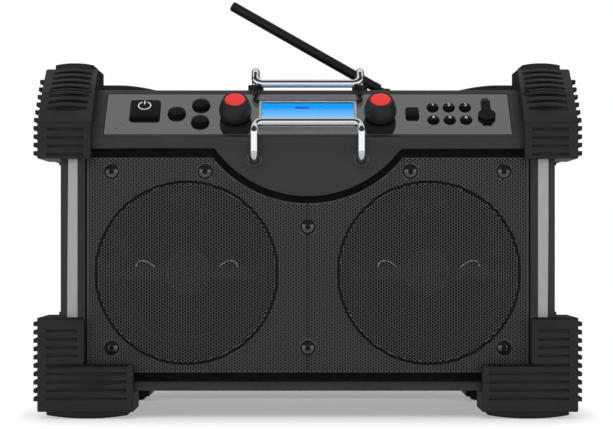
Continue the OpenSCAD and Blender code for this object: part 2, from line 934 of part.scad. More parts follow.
// Encoder bodies on the board; the tuning one also holds a plunger that its knob pushes
module rotary_encoders() {
  floor_w = -board_drop + 1.5;
  color("#8f9296") on_panel() for (side = [-1, 1]) {
    translate([side * knob_spacing / 2, knob_v, 0]) difference() {
      union() {
        box([-6.5, -6.5, -board_drop], [6.5, 6.5, -plate_t - 0.8]);
        translate([0, 0, -plate_t - 1]) cylinder(r = bush_r, h = plate_t + 1 + bush_h);
      }
      translate([0, 0, floor_w]) cylinder(r = stem_r + running, h = board_drop + 2);
      if (side > 0) box([-4.2, -4.2, floor_w], [4.2, 4.2, plunger_top + 0.8]);
    }
  }
}

module tuning_plunger() {
  color("#c9c4b4") on_panel() translate([knob_spacing / 2, knob_v, 0]) difference() {
    box([-3.9, -3.9, plunger_top - 2], [3.9, 3.9, plunger_top]);
    translate([0, 0, plunger_top - 2 - past]) cylinder(r = journal_r + running, h = 2 + 2 * past);
  }
}

// Knob in one piece with its stem; the tuning knob's stem ends in a thin journal
module knob_body(side) {
  top_r = knob_cap_r + 2;
  stem_end = -board_drop + 1.8;
  stem = side > 0
    ? [
        [0, plunger_top - 2], [journal_r, plunger_top - 2], [journal_r, plunger_top + 0.1],
        [stem_r, plunger_top + 0.1]
      ]
    : [[0, stem_end], [stem_r, stem_end]];
  on_panel() translate([side * knob_spacing / 2, knob_v, 0]) rotate_extrude() polygon(concat(stem, [
    [stem_r, knob_lift + 3], [bush_r + 0.6, knob_lift + 3], [bush_r + 0.6, knob_lift],
    [knob_d / 2 - 1, knob_lift], [knob_d / 2, knob_lift + 1.5], [knob_d / 2, knob_h * 0.3],
    [knob_d / 2 - 1.6, knob_h * 0.65], [top_r, knob_h * 0.97], [top_r - 0.8, knob_h],
    [knob_cap_r + 0.1, knob_h], [knob_cap_r + 0.1, knob_h - 1.5], [0, knob_h - 1.5]
  ]));
}

module knob_cap(side) {
  on_panel() translate([side * knob_spacing / 2, knob_v, knob_h - 1.5]) cylinder(r = knob_cap_r, h = 1.7);
}

module volume_knob() {
  color("#232324") knob_body(-1);
}

module volume_knob_cap() {
  color("#e5352f") knob_cap(-1);
}

module tuning_knob() {
  color("#232324") knob_body(1);
}

module tuning_knob_cap() {
  color("#e5352f") knob_cap(1);
}

// Rubber flap over the sound socket; it hinges at its strap
module aux_cover() {
  color("#1b1b1c") on_panel() translate([aux_place[0], aux_place[1], 0.3]) {
    difference() {
      union() {
        cylinder(r = aux_r, h = 3);
        box([-4.5, 0, 0], [4.5, aux_hinge_v - aux_place[1], 1.8]);
        translate([0, aux_hinge_v - aux_place[1], 0.9]) rotate([0, 90, 0])
          cylinder(r = 0.9, h = 9, center = true);
        box([-4.5, -aux_r - 3.5, 0], [4.5, 0, 1.6]);
      }
    }
  }
}

module aux_socket() {
  color("#2a2a2c") on_panel() translate([aux_place[0], aux_place[1], 0]) difference() {
    union() {
      translate([0, 0, -board_drop - 7]) cylinder(r = 5.6, h = board_drop + 7 - plate_t);
      translate([0, 0, -plate_t - 0.1]) cylinder(r = 4.1, h = plate_t + 0.1);
    }
    translate([0, 0, -14]) cylinder(r = aux_jack_r, h = 14 + past);
  }
}

// ---------------------------------------------------------------- guard bars

// A straight length of rod, with what follows at its end
module rod_run(len) {
  cylinder(d = rod_d, h = len);
  translate([0, 0, -rod_lap]) cylinder(d = rod_d - 2, h = len + 2 * rod_lap);
  translate([0, 0, len]) children();
}

// A bend of the rod towards X, with what follows at its end
module rod_turn(angle) {
  translate([rod_bend, 0, 0]) rotate([90, 0, 180]) rotate_extrude(angle = angle)
    translate([rod_bend, 0]) circle(d = rod_d);
  translate([rod_bend * (1 - cos(angle)), 0, rod_bend * sin(angle)]) rotate([0, angle, 0]) children();
}

// Bend into the cross bar and its half length, ending at the middle of the radio
module cross_half() {
  rod_turn(90) rod_run(bar_x - rod_bend);
}

// Right half of the front bar: out of the apron, up, back over the panel and across
module front_bar_half() {
  turn = 90 - panel_angle;
  cross_y = -bar_reach + rod_bend * (1 - cos(turn)) + (front_bar_slant + rod_bend) * cos(panel_angle);
  cross_z = panel_edge + cross_y * tan(panel_angle) + front_bar_lift / cos(panel_angle);
  rise = cross_z - front_leg_z - rod_bend * (1 + sin(turn)) - (front_bar_slant + rod_bend) * sin(panel_angle);
  translate([bar_x, y_front, front_leg_z]) rotate([90, 0, 0]) rotate([0, 0, 90]) {
    translate([0, 0, -rod_root]) cylinder(d = rod_d, h = rod_root + 0.1);
    rod_run(bar_reach - rod_bend) rod_turn(90) rod_run(rise) rod_turn(turn) rod_run(front_bar_slant)
      rotate([0, 0, 90]) cross_half();
  }
}

module front_guard_bar() {
  color("#dcdfe2") both_sides() front_bar_half();
}

// Right half of the rear bar: up out of the top, forward and down over the panel, and across
module rear_bar_half() {
  translate([bar_x, rear_leg_y, cabinet_top]) rotate([0, 0, -90]) {
    translate([0, 0, -rod_root]) cylinder(d = rod_d, h = rod_root + 0.1);
    rod_run(rear_bar_rise - rod_d / 2 - rod_bend) rod_turn(90 + rear_bar_slope) rod_run(rear_bar_len)
      rotate([0, 0, -90]) cross_half();
  }
}

module rear_guard_bar() {
  color("#dcdfe2") both_sides() rear_bar_half();
}

// Rings that the four legs of the bars pass through
module guard_bar_sockets() {
  color("#1e1e1f") both_sides() {
    difference() {
      rod_y(bar_x, front_leg_z, socket_r, y_front - socket_h, y_front);
      rod_y(bar_x, front_leg_z, rod_d / 2 + running, y_front - socket_h - past, y_front + past);
    }
    difference() {
      translate([bar_x, rear_leg_y, cabinet_top]) cylinder(r = socket_r, h = socket_h + 3);
      translate([bar_x, rear_leg_y, cabinet_top - past])
        cylinder(r = rod_d / 2 + running, h = socket_h + 3 + 2 * past);
    }
  }
}

// ---------------------------------------------------------------- aerial

// Turning foot on the cabinet's top, held by a stub through it
module aerial_base() {
  color("#1d1d1e") translate([aerial_x, aerial_y, cabinet_top]) {
    difference() {
      cylinder(r = turret_r + 2, h = turret_h);
      translate([0, 0, 1]) cylinder(r = turret_r + running, h = turret_h);
      translate([0, 0, -past]) cylinder(r = 3 + running, h = 2 * past + turret_h);
    }
    difference() {
      translate([0, 0, -wall - 2]) cylinder(r = 5, h = wall + 2);
      translate([0, 0, -wall - 2 - past]) cylinder(r = 3 + running, h = wall + 2 * past + 2);
    }
  }
}

// Fork that turns in the foot and holds the hinge pin
module aerial_knuckle() {
  lift = aerial_hinge_z - cabinet_top;
  color("#252526") translate([aerial_x, aerial_y, cabinet_top]) {
    difference() {
      union() {
        translate([0, 0, 1 + running]) cylinder(r = turret_r, h = turret_h - 1);
        translate([0, 0, -wall - 2]) cylinder(r = 3, h = wall + 2 + 1.2);
        intersection() {
          box([-7, -fork_w / 2, 1 + running], [7, fork_w / 2, lift + 5]);
          union() {
            box([-7, -fork_w / 2, 0], [7, fork_w / 2, lift]);
            translate([0, 0, lift]) rotate([90, 0, 0]) cylinder(r = 5.4, h = fork_w, center = true);
          }
        }
      }
      box([-8, -aerial_eye_w / 2 - running, turret_h + 0.05], [8, aerial_eye_w / 2 + running, lift + 8]);
    }
    translate([0, 0, lift]) rotate([90, 0, 0]) cylinder(r = aerial_pin_r, h = fork_w - 0.6, center = true);
  }
}

module aerial() {
  color("#1b1b1c") translate([aerial_x, aerial_y, aerial_hinge_z]) rotate([0, aerial_angle - 90, 0]) {
    difference() {
      union() {
        rotate([90, 0, 0]) cylinder(r = 3.7, h = aerial_eye_w, center = true);
        box([-3.4, -aerial_eye_w / 2, 0], [3.4, aerial_eye_w / 2, 12]);
        translate([0, 0, 9]) cylinder(r = aerial_d / 2 + 0.2, h = aerial_root - 9);
        translate([0, 0, aerial_root - 0.1]) cylinder(r = aerial_d / 2, h = aerial_len - aerial_root - 1.4);
        translate([0, 0, aerial_len - 1.5]) cylinder(r1 = aerial_d / 2, r2 = aerial_d / 2 - 1.5, h = 1.5);
      }
      rotate([90, 0, 0]) cylinder(r = aerial_pin_r + running, h = 20, center = true);
    }
  }
}

// ---------------------------------------------------------------- bumpers

// Outline of a bumper's side seen from the right, with the front at y = -face_y
module lower_side_outline() {
  polygon([
    [-face_y, pad_h], [-face_y, lower_leg_top], [-face_y + leg_depth, lower_leg_top],
    [-face_y + leg_depth, foot_top], [-middle_gap / 2, foot_top], [-middle_gap / 2, pad_h]
  ]);
}

module upper_side_outline(drop) {
  edge = panel_edge + 13;
  head = body_top - drop;
  polygon([
    [-face_y, upper_leg_end], [-face_y, edge], [-face_y + slope_knee[0], edge + slope_knee[1]],
    [-face_y + slope_head[0], head], [-middle_gap / 2, head], [-middle_gap / 2, cabinet_top - 22],
    [-face_y + leg_depth, cabinet_top - 22], [-face_y + leg_depth, upper_leg_end]
  ]);
}

module rear_side_outline(drop) {
  head = body_top - drop;
  polygon([
    [-face_y, upper_leg_end], [-face_y, head], [-middle_gap / 2, head],
    [-middle_gap / 2, cabinet_top - 22], [-face_y + leg_depth, cabinet_top - 22],
    [-face_y + leg_depth, upper_leg_end]
  ]);
}

// The room that the cabinet takes out of a bumper
module cabinet_room() {
  across(cabinet_w + 2 * 0.1) offset_outline();
}

// The cabinet's outline grown by a slip fit of 0.1
module offset_outline() {
  slip = 0.1;
  rise = slip / cos(panel_angle);
  polygon([
    [y_front - slip, cabinet_base - slip], [y_front - slip, panel_edge + rise],
    [y_front + slope_run, cabinet_top + slip], [y_back + slip, cabinet_top + slip],
    [y_back + slip, cabinet_base - slip]
  ]);
}

// Round-topped bar from x0 to x1 whose arc rises by sag, flat on its middle fifth
function arc_points(x0, x1, z0, z1, sag) = [
  for (i = [0 : 12]) let (t = i / 12, bow = 1 - pow(2 * t - 1, 2))
    [x0 + t * (x1 - x0), z1 - sag + sag * min(1, bow / 0.96)]
];

module pad_outline(x0, x1, root, top, sag) {
  polygon(concat([[x1, root], [x0, root]], arc_points(x0, x1, root, top, sag)));
}

// Fins on the outer side: [y0, y1, z] each
module fins(rows) {
  for (f = rows) {
    box([bumper_x - 1, f[0], f[2] - fin_t / 2], [bumper_x + fin_reach, f[1], f[2] + fin_t / 2]);
  }
}

// One horizontal groove in the face
module face_groove(x0, x1, z) {
  box([x0, -face_y - past, z - rib_gap / 2], [x1, -face_y + rib_depth, z + rib_gap / 2]);
}

// Right lower bumper at the front
module lower_bumper() {
  rib_top = lower_leg_top - 12.5;
  color("#303132") difference() {
    union() {
      difference() {
        union() {
          between(lower_leg_in, bumper_x) lower_side_outline();
          box([foot_in, -face_y, pad_h], [bumper_x, -face_y + foot_depth, foot_top]);
        }
        // the underside carries the cabinet only under its edge
        box(
          [foot_in - past, -face_y + foot_depth, pad_h - past],
          [lower_leg_in, 0, foot_top + past]
        );
      }
      // pad under the foot, flat where it meets the floor
      along(-face_y + 6, -face_y + foot_depth - 6) mirror([0, 1])
        translate([0, -2 * pad_h]) pad_outline(pad_in, pad_out, pad_h, 2 * pad_h, 3.4);
      fins([for (i = [0 : 9]) [fin_start, fin_end, lower_leg_top - 6.5 - i * rib_pitch]]);
    }
    cabinet_room();
    for (i = [0 : 3]) face_groove(lower_leg_in + 6.5, bumper_x - 8.5, rib_top - i * rib_pitch);
    for (i = [4 : 8]) face_groove(foot_in + 7, bumper_x - 8.5, rib_top - 1 - i * rib_pitch);
  }
}

// Crowned band on a slope of the front upper bumper, between two distances up the slope
module crowned_band(start, end) {
  along(start, end) pad_outline(upper_leg_in + 5.5, bumper_x - 8.5, -past, crown, crown);
}

// Grooves across a crowned band, at these distances up the slope
module band_grooves(places) {
  for (d = places) {
    box([upper_leg_in + 5, d - crown_gap / 2, -1], [bumper_x - 8, d + crown_gap / 2, crown + past]);
  }
}

// Places its children on the lower or the upper slope of the front upper bumper
module on_low_slope() {
  translate([0, -face_y, panel_edge + 13]) rotate([low_lean, 0, 0]) children();
}

module on_high_slope() {
  translate([0, -face_y + slope_knee[0], panel_edge + 13 + slope_knee[1]]) rotate([high_lean, 0, 0])
    children();
}

// Right upper bumper at the front, cut to the panel's slope
module front_upper_bumper() {
  edge = panel_edge + 13;
  color("#303132") difference() {
    union() {
      between(upper_leg_in, bumper_x) upper_side_outline(0);
      on_low_slope() crowned_band(low_groove + crown_gap / 2, norm(slope_knee) + 0.6);
      on_high_slope() crowned_band(0, norm(slope_head - slope_knee) - 2);
      along(-face_y + slope_head[0] + 2, -middle_gap / 2 - 6)
        pad_outline(pad_side_in, pad_side_out, body_top - past, body_top + pad_h - 0.5, 2);
      fins([
        for (i = [0 : 9]) let (z = upper_leg_end + 5.5 + i * rib_pitch)
          [
            max(fin_start, fin_start + (z - edge) / tan(low_lean)), fin_end, z
          ]
      ]);
    }
    cabinet_room();
    for (i = [0 : 3]) face_groove(upper_leg_in + 7, bumper_x - 9, upper_leg_end + 4 + i * rib_pitch);
    on_low_slope() band_grooves([for (i = [0 : 2]) low_groove + 10 * i]);
    on_high_slope() band_grooves([for (i = [0 : 3]) 5.8 + 9.7 * i]);
  }
}

// Right upper bumper at the rear, built as if it stood at the front
module rear_upper_bumper() {
  head = body_top - rear_drop;
  color("#303132") difference() {
    union() {
      between(upper_leg_in, bumper_x) rear_side_outline(rear_drop);
      box([rear_foot_in, -face_y, cabinet_top - 24], [bumper_x, -face_y + foot_depth, head]);
      along(-face_y + 6, -face_y + foot_depth - 6)
        pad_outline(rear_foot_in + 2, pad_out, head - past, head + pad_h - 0.5, 5.4);
      fins([for (i = [0 : 8]) [fin_start, fin_end, upper_leg_end + 5.5 + i * rib_pitch]]);
    }
    mirror([0, 1, 0]) cabinet_room();
    for (i = [0 : 5]) face_groove(upper_leg_in + 7, bumper_x - 9, upper_leg_end + 4 + i * rib_pitch);
    for (i = [6 : 9]) face_groove(rear_foot_in + 7, bumper_x - 9, upper_leg_end + 4 + i * rib_pitch);
  }
}

module front_right_lower_bumper() {
  lower_bumper();
}

module front_left_lower_bumper() {
  mirror([1, 0, 0]) lower_bumper();
}

module rear_right_lower_bumper() {
  mirror([0, 1, 0]) lower_bumper();
}

module rear_left_lower_bumper() {
  mirror([1, 0, 0]) mirror([0, 1, 0]) lower_bumper();
}

module front_right_upper_bumper() {
  front_upper_bumper();
}

module front_left_upper_bumper() {
  mirror([1, 0, 0]) front_upper_bumper();
}

module rear_right_upper_bumper() {
  mirror([0, 1, 0]) rear_upper_bumper();
}

module rear_left_upper_bumper() {
  mirror([1, 0, 0]) mirror([0, 1, 0]) rear_upper_bumper();
}

// ---------------------------------------------------------------- electronics

module main_board() {
  color("#1f5a3a") {
    box([-60, cover_in - 10, 140], [90, cover_in - 8.4, 270]);
    box([-50, cover_in - 34, 200], [80, cover_in - 9.9, 206]);
    for (i = [0 : 5]) box([-48 + 24 * i, cover_in - 34, 205.9], [-44 + 24 * i, cover_in - 9.9, 226]);
    for (x = [-30, 10, 50]) translate([x, cover_in - 9.9, 170]) rotate([90, 0, 0]) cylinder(r = 8, h = 20);
  }
  color("#1f5a3a") for (x = [-54, 84], z = [146, 264]) rod_y(x, z, 3, cover_in - 8.5, cover_in);
}

module transformer() {
  color("#6a5a4a") {
    box([150, cover_in - 62, cabinet_base + wall], [214, cover_in - 12, cabinet_base + wall + 8]);
    box([156, cover_in - 60, cabinet_base + wall], [208, cover_in - 14, cabinet_base + wall + 52]);
  }
}

// ---------------------------------------------------------------- drawing

main_housing();
front_frame();
trim_strips();
speaker_baffle();
speaker_grille();
grille_screws();
rear_cover();
case_screws();
side_grips();
control_panel();
control_board();
display_lens();
display_module();
status_lights();
rotary_encoders();
tuning_plunger();
volume_knob();
volume_knob_cap();
tuning_knob();
tuning_knob_cap();
power_button();
mode_button();
band_button();
tone_button();
alarm_button();
preset_button(1);  // preset_button_1
preset_button(2);  // preset_button_2
preset_button(3);  // preset_button_3
preset_button(4);  // preset_button_4
preset_button(5);  // preset_button_5
preset_button(6);  // preset_button_6
aux_cover();
aux_socket();
front_guard_bar();
rear_guard_bar();
guard_bar_sockets();
aerial_base();
aerial_knuckle();
aerial();
front_left_upper_bumper();
front_right_upper_bumper();
rear_left_upper_bumper();
rear_right_upper_bumper();
front_left_lower_bumper();
front_right_lower_bumper();
rear_left_lower_bumper();
rear_right_lower_bumper();
left_speaker_frame();
right_speaker_frame();
left_speaker_cone();
right_speaker_cone();
speaker_suspensions();
speaker_magnets();
left_tweeter();
right_tweeter();
main_board();
transformer();
battery_cells();
battery_door();
mains_inlet();
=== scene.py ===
# %% [markdown]
# # A jobsite radio
#
# The solids of the radio come first, as a fixed frame: every piece made here sits on them and moves
# with them. Lengths are metres. X runs to the right, the front faces -Y and Z is up. Shapes that were
# drawn in millimetres are written in millimetres here too and scaled by MM.

# %% load the frame
import json

import bmesh
import bpy
import numpy as np
from mathutils import Matrix, Vector


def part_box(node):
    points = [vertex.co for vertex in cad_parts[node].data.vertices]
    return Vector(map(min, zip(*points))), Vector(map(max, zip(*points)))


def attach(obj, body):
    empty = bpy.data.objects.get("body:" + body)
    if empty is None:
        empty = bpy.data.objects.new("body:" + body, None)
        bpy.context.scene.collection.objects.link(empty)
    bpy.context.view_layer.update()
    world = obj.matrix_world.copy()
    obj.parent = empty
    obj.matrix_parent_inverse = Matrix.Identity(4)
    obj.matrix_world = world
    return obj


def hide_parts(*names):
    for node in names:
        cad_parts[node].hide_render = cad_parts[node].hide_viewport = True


MM = 0.001
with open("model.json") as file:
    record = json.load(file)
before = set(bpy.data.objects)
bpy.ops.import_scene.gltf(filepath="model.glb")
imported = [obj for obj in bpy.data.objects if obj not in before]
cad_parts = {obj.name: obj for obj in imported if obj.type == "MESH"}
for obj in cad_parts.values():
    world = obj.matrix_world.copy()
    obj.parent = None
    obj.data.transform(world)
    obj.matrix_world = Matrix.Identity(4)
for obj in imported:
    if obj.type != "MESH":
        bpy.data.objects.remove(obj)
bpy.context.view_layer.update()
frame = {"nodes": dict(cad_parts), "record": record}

# %% [markdown]
# ## Camera
#
# A radio is best shown from straight in front, level with the middle of its cabinet, with a long lens so
# that its sides stay parallel. The lens is shifted instead of tilted, which keeps every upright line
# upright.

# %% camera
CAMERA_DISTANCE = 1.990
CAMERA_HEIGHT = 0.170
FOCAL_LENGTH = 120.4
SHIFT_X = -0.0021
SHIFT_Y = 0.0465

front_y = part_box("front_frame")[0].y
camera_data = bpy.data.cameras.new("camera")
camera_data.lens = FOCAL_LENGTH
camera_data.sensor_width = 36
camera_data.shift_x = SHIFT_X
camera_data.shift_y = SHIFT_Y
camera = bpy.data.objects.new("camera", camera_data)
camera.location = (0, front_y - CAMERA_DISTANCE, CAMERA_HEIGHT)
camera.rotation_euler = (np.pi / 2, 0, 0)
bpy.context.scene.collection.objects.link(camera)
bpy.context.scene.camera = camera
print("camera at", tuple(round(v, 3) for v in camera.location))

# %% [markdown]
# ## Sums in a material
#
# A pattern on a surface is a number that changes from point to point. `Field` wraps such a number, so
# that a formula on fields builds the Math nodes by itself: `1 - mask * 0.3` is three nodes.

# %% fields


class Field:
    """A number or colour that varies from point to point, with the operators used below."""

    def __init__(self, nodes, socket):
        self.nodes = nodes
        self.socket = socket

    def math(self, operation, first, second=0.0):
        return self.nodes.node("ShaderNodeMath", {"operation": operation}, {0: first, 1: second})

    def __add__(self, other):
        return self.math("ADD", self, other)

    def __sub__(self, other):
        return self.math("SUBTRACT", self, other)

    def __rsub__(self, other):
        return self.math("SUBTRACT", other, self)

    def __mul__(self, other):
        return self.math("MULTIPLY", self, other)

    def __gt__(self, other):
        return self.math("GREATER_THAN", self, other)

    def __lt__(self, other):
        return self.math("LESS_THAN", self, other)

    def wave(self):
        return self.math("SINE", self)

    def size(self):
        return self.math("ABSOLUTE", self)

    def highest(self, other):
        return self.math("MAXIMUM", self, other)

    def ramp(self, start, end):
        """0 up to start, 1 from end on, and straight in between."""
        levels = {"Value": self, "From Min": start, "From Max": end}
        return self.nodes.node("ShaderNodeMapRange", {}, levels)

    def blend(self, low, high):
        """The colour low where the field is 0 and high where it is 1."""
        colours = {"Factor": self, 6: low, 7: high}
        return self.nodes.node("ShaderNodeMix", {"data_type": "RGBA"}, colours, output=2)

    __radd__ = __add__
    __rmul__ = __mul__


class Nodes:
    """A node tree, and the one way in which nodes are added to it."""

    def __init__(self, tree):
        self.tree = tree

    def node(self, kind, settings, inputs, output=0):
        """A node of a kind, with its settings, then the numbers, colours or fields on its sockets."""
        node = self.tree.nodes.new(kind)
        for word, choice in settings.items():
            setattr(node, word, choice)
        for place, item in inputs.items():
            socket = node.inputs[place]
            if isinstance(item, Field):
                self.tree.links.new(item.socket, socket)
            else:
                socket.default_value = (*item, 1) if socket.type == "RGBA" else item
        return Field(self, node.outputs[output])


print("operators: + - * < >")

# %% [markdown]
# ## One finish, one material
#
# `Finish` holds a material. What is the same all over is set on the shader's own sockets. `paint` and
# `relief` wire a field into the colour, the gloss or the surface's bumps.
# Patterns read Object coordinates, which stay with a piece when it moves.

# %% finishes


class Finish(Nodes):
    """A material and the tools that draw patterns on it."""

    def __init__(self, name, colour, roughness, **constants):
        self.material = bpy.data.materials.new(name)
        self.material.use_nodes = True
        self.material.diffuse_color = (*colour, 1)
        super().__init__(self.material.node_tree)
        self.shader = self.tree.nodes["Principled BSDF"]
        self.colour = colour
        self.roughness = roughness
        self.shader.inputs["Base Color"].default_value = (*colour, 1)
        self.shader.inputs["Roughness"].default_value = roughness
        for word, number in constants.items():
            self.shader.inputs[word.replace("_", " ")].default_value = number

    def point(self, stretch=(1, 1, 1)):
        """Where a point of the surface is, stretched along the axes."""
        here = self.node("ShaderNodeTexCoord", {}, {}, output="Object")
        return self.node("ShaderNodeMapping", {}, {"Vector": here, "Scale": stretch})

    def along(self, axis):
        """Distance along one axis: 0 for X, 1 for Y and 2 for Z."""
        return self.node("ShaderNodeSeparateXYZ", {}, {"Vector": self.point()}, output=axis)

    def speckle(self, size, stretch=(1, 1, 1), detail=2.0):
        """Soft noise round 0.5 whose lumps are about that size."""
        levels = {"Vector": self.point(stretch), "Scale": 1 / size, "Detail": detail}
        return self.node("ShaderNodeTexNoise", {}, levels)

    def paint(self, word, field):
        self.tree.links.new(field.socket, self.shader.inputs[word])

    def shade(self, amount, field):
        """The colour, darker by amount where the field is low and lighter where it is high."""
        dark = tuple(c * (1 - amount) for c in self.colour)
        light = tuple(min(1, c * (1 + amount)) for c in self.colour)
        self.paint("Base Color", field.ramp(0.3, 0.7).blend(dark, light))

    def gloss(self, spread, field):
        """The roughness, varied by spread."""
        self.paint("Roughness", field.ramp(0.2, 0.8) * spread + (self.roughness - spread / 2))

    def relief(self, field, depth):
        """Fine bumps, depth high from the field's 0 to its 1."""
        levels = {"Strength": 1.0, "Distance": depth, "Height": field}
        self.paint("Normal", self.node("ShaderNodeBump", {}, levels))


print("tools of a finish: point, along, speckle, paint, shade, gloss, relief")

# %% [markdown]
# ## Moulded plastic and rubber
#
# A mould for plastic is spark-eroded, which leaves a fine even grain, and rubber has a coarser one. A
# slow drift in tone and gloss keeps a large face from looking dead flat. The black parts get most of
# their grey from what they reflect, so their own colours are nearly black.

# %% plastic, rubber and metal recipes


def moulded(name, colour, roughness, grain=0.0007, depth=0.00004, drift=0.12, **constants):
    """Plastic or rubber with an eroded grain."""
    finish = Finish(name, colour, roughness, **constants)
    finish.shade(drift, finish.speckle(0.035, detail=4.0))
    finish.gloss(0.08, finish.speckle(0.012))
    finish.relief(finish.speckle(grain), depth)
    return finish.material


def brushed(name, colour, roughness, stretch, drift=0.10, **constants):
    """Metal brushed along the axis that the stretch makes short."""
    finish = Finish(name, colour, roughness, **constants)
    lines = finish.speckle(0.0006, stretch=stretch)
    finish.shade(drift, lines)
    finish.gloss(0.14, lines)
    finish.relief(lines, 0.00001)
    return finish.material


def polished(name, colour, roughness, wave=0.00002, **constants):
    """Plated or polished surface, with the faint waves that a drawn rod keeps."""
    finish = Finish(name, colour, roughness, **constants)
    finish.gloss(0.02, finish.speckle(0.006))
    finish.relief(finish.speckle(0.02), wave)
    return finish.material


print("recipes: moulded, brushed, polished")

# %% [markdown]
# ## The radio's plastics, rubbers and metals
#
# One entry for each material slot of the frame. The panel's plate is a hard gloss over dark grey: it
# mirrors the white wall above the radio's back, and the knobs stand in it upside down. Chromium has
# hardly a colour of its own: its light and dark lines are the room, wrapped round the rod.

# %% finishes by slot
SOFT = {"Specular_IOR_Level": 0.22}
DULL = {"Specular_IOR_Level": 0.12}
METAL = {"Metallic": 1.0}

FINISHES = {
    "cabinet_plastic": moulded("cabinet plastic", (0.0160, 0.0162, 0.0165), 0.45, Specular_IOR_Level=0.38),
    "grip_plastic": moulded("grip plastic", (0.004, 0.004, 0.0045), 0.42, **SOFT),
    "trim_aluminium": brushed("trim aluminium", (0.36, 0.36, 0.365), 0.42, (1, 1, 0.03), Metallic=0.8),
    "black_screws": moulded("black screws", (0.012, 0.012, 0.013), 0.15, grain=0.0004, depth=0.0,
                            Specular_IOR_Level=1.0),
    "bright_screws": brushed("bright screws", (0.70, 0.70, 0.72), 0.4, (1, 0.1, 1), Metallic=0.6),
    "panel_gloss": moulded("panel gloss", (0.014, 0.014, 0.015), 0.07, grain=0.0003, depth=0.0,
                           drift=0.03, Specular_IOR_Level=0.68, IOR=1.8),
    "clear_lens": polished("clear lens", (0.98, 0.99, 1.0), 0.03, Transmission_Weight=1.0, IOR=1.12),
    "encoder_steel": brushed("encoder steel", (0.50, 0.50, 0.52), 0.3, (0.1, 1, 1), **METAL),
    "plunger_plastic": moulded("plunger plastic", (0.60, 0.57, 0.48), 0.5),
    "knob_black": moulded("knob black", (0.019, 0.019, 0.0195), 0.38, grain=0.0004, depth=0.00002, **SOFT),
    "cap_red": moulded("cap red", (0.90, 0.042, 0.040), 0.40, grain=0.0004, depth=0.0, drift=0.03, **SOFT),
    "button_rubber": moulded("button rubber", (0.0045, 0.0045, 0.005), 0.38, grain=0.0004, depth=0.00001,
                             Specular_IOR_Level=0.06),
    "guard_chrome": polished("guard chrome", (0.62, 0.63, 0.65), 0.04, **METAL),
    "aerial_rubber": moulded("aerial rubber", (0.010, 0.010, 0.011), 0.45, grain=0.0006, **SOFT),
    "bumper_rubber": moulded("bumper rubber", (0.0085, 0.0087, 0.0090), 0.55, grain=0.0009, depth=0.00005,
                             Specular_IOR_Level=0.31),
    "speaker_steel": moulded("speaker steel", (0.004, 0.004, 0.004), 0.5, **DULL),
    "roll_rubber": moulded("roll rubber", (0.004, 0.004, 0.004), 0.5, **DULL),
    "magnet_ferrite": moulded("magnet ferrite", (0.08, 0.08, 0.085), 0.5, grain=0.0012, depth=0.0001),
    "tweeter_plastic": moulded("tweeter plastic", (0.004, 0.004, 0.004), 0.4, **DULL),
    "cell_sleeve": moulded("cell sleeve", (0.16, 0.18, 0.20), 0.3, grain=0.004, depth=0.00001),
}
print("finishes:", len(FINISHES))

# %% [markdown]
# ## Boards, paper and iron
#
# Six finishes have a pattern of their own. A circuit board shows copper tracks under its green lacquer, the
# speaker board shows pressed chips, a cone is felted paper, and the transformer's core is a stack of thin
# sheets. The grille's steel is painted lighter inside the speakers' rings: a painted sheen that stands for
# the light on the grille's domed part before each speaker, which the flat sheet does not have. Of the two
# status lights one has a blue lens and one an olive lens.

# %% patterned finishes
TRACKS_ACROSS = 0.0025
TRACKS_UP = 0.0041
TRACK_LIMIT = 0.35
CHIP_SIZE = 0.004
CORE_SHEET = 0.0007


def circuit_board(name, colour):
    """Tracks appear where two waves and a noise add up to more than a limit."""
    finish = Finish(name, colour, 0.35)
    across = (finish.along(0) * (2 * np.pi / TRACKS_ACROSS)).wave()
    up = (finish.along(2) * (2 * np.pi / TRACKS_UP)).wave()
    tracks = across + finish.speckle(0.02) * 2.0 + up * 0.6 - 1.0 > TRACK_LIMIT
    finish.paint("Base Color", tracks.blend(colour, tuple(c * 1.9 for c in colour)))
    finish.relief(tracks, 0.00004)
    return finish.material


def chip_board(name, colour):
    """Each cell of a Voronoi pattern is one chip with its own shade."""
    finish = Finish(name, colour, 0.75, Specular_IOR_Level=0.1)
    levels = {"Vector": finish.point(), "Scale": 1 / CHIP_SIZE}
    cells = finish.node("ShaderNodeTexVoronoi", {}, levels, output="Color")
    finish.shade(0.35, finish.node("ShaderNodeSeparateXYZ", {}, {"Vector": cells}))
    finish.relief(finish.speckle(0.0015), 0.0001)
    return finish.material


def felted_paper(name, colour):
    """Short fibres, which are noise with much detail."""
    finish = Finish(name, colour, 0.8, **DULL)
    fibres = finish.speckle(0.0008, stretch=(1, 1, 0.3), detail=5.0)
    finish.shade(0.3, fibres)
    finish.relief(fibres, 0.00015)
    return finish.material


def stacked_sheets(name, colour):
    """A wave along Y whose period is one sheet."""
    finish = Finish(name, colour, 0.5, Metallic=0.6)
    sheets = (finish.along(1) * (2 * np.pi / CORE_SHEET)).wave() * 0.5 + 0.5
    finish.shade(0.25, sheets)
    finish.relief(sheets, 0.00005)
    return finish.material


def steel_with_painted_sheen(name, plain, sheen_colour):
    """Inside the speakers' rings, (|x| - a)^2 + (z - b)^2 < r^2, the steel is painted lighter: a painted
    sheen for the domed part there.
    """
    finish = Finish(name, plain, 0.40, Specular_IOR_Level=0.42)
    across = finish.along(0).size() - SPEAKER_X * MM
    up = finish.along(2) - SPEAKER_Z * MM
    sheen_area = across * across + up * up < (RING_RADIUS * MM) ** 2
    # painted sheen: lighter steel inside the rings, for the light on the grille's domed part
    finish.paint("Base Color", sheen_area.blend(plain, sheen_colour))
    finish.gloss(0.08, finish.speckle(0.012))
    return finish.material


def two_lenses(name, first, second, border):
    """One colour on each side of a border along X."""
    finish = Finish(name, first, 0.25)
    finish.paint("Base Color", (finish.along(0) > border).blend(first, second))
    return finish.material


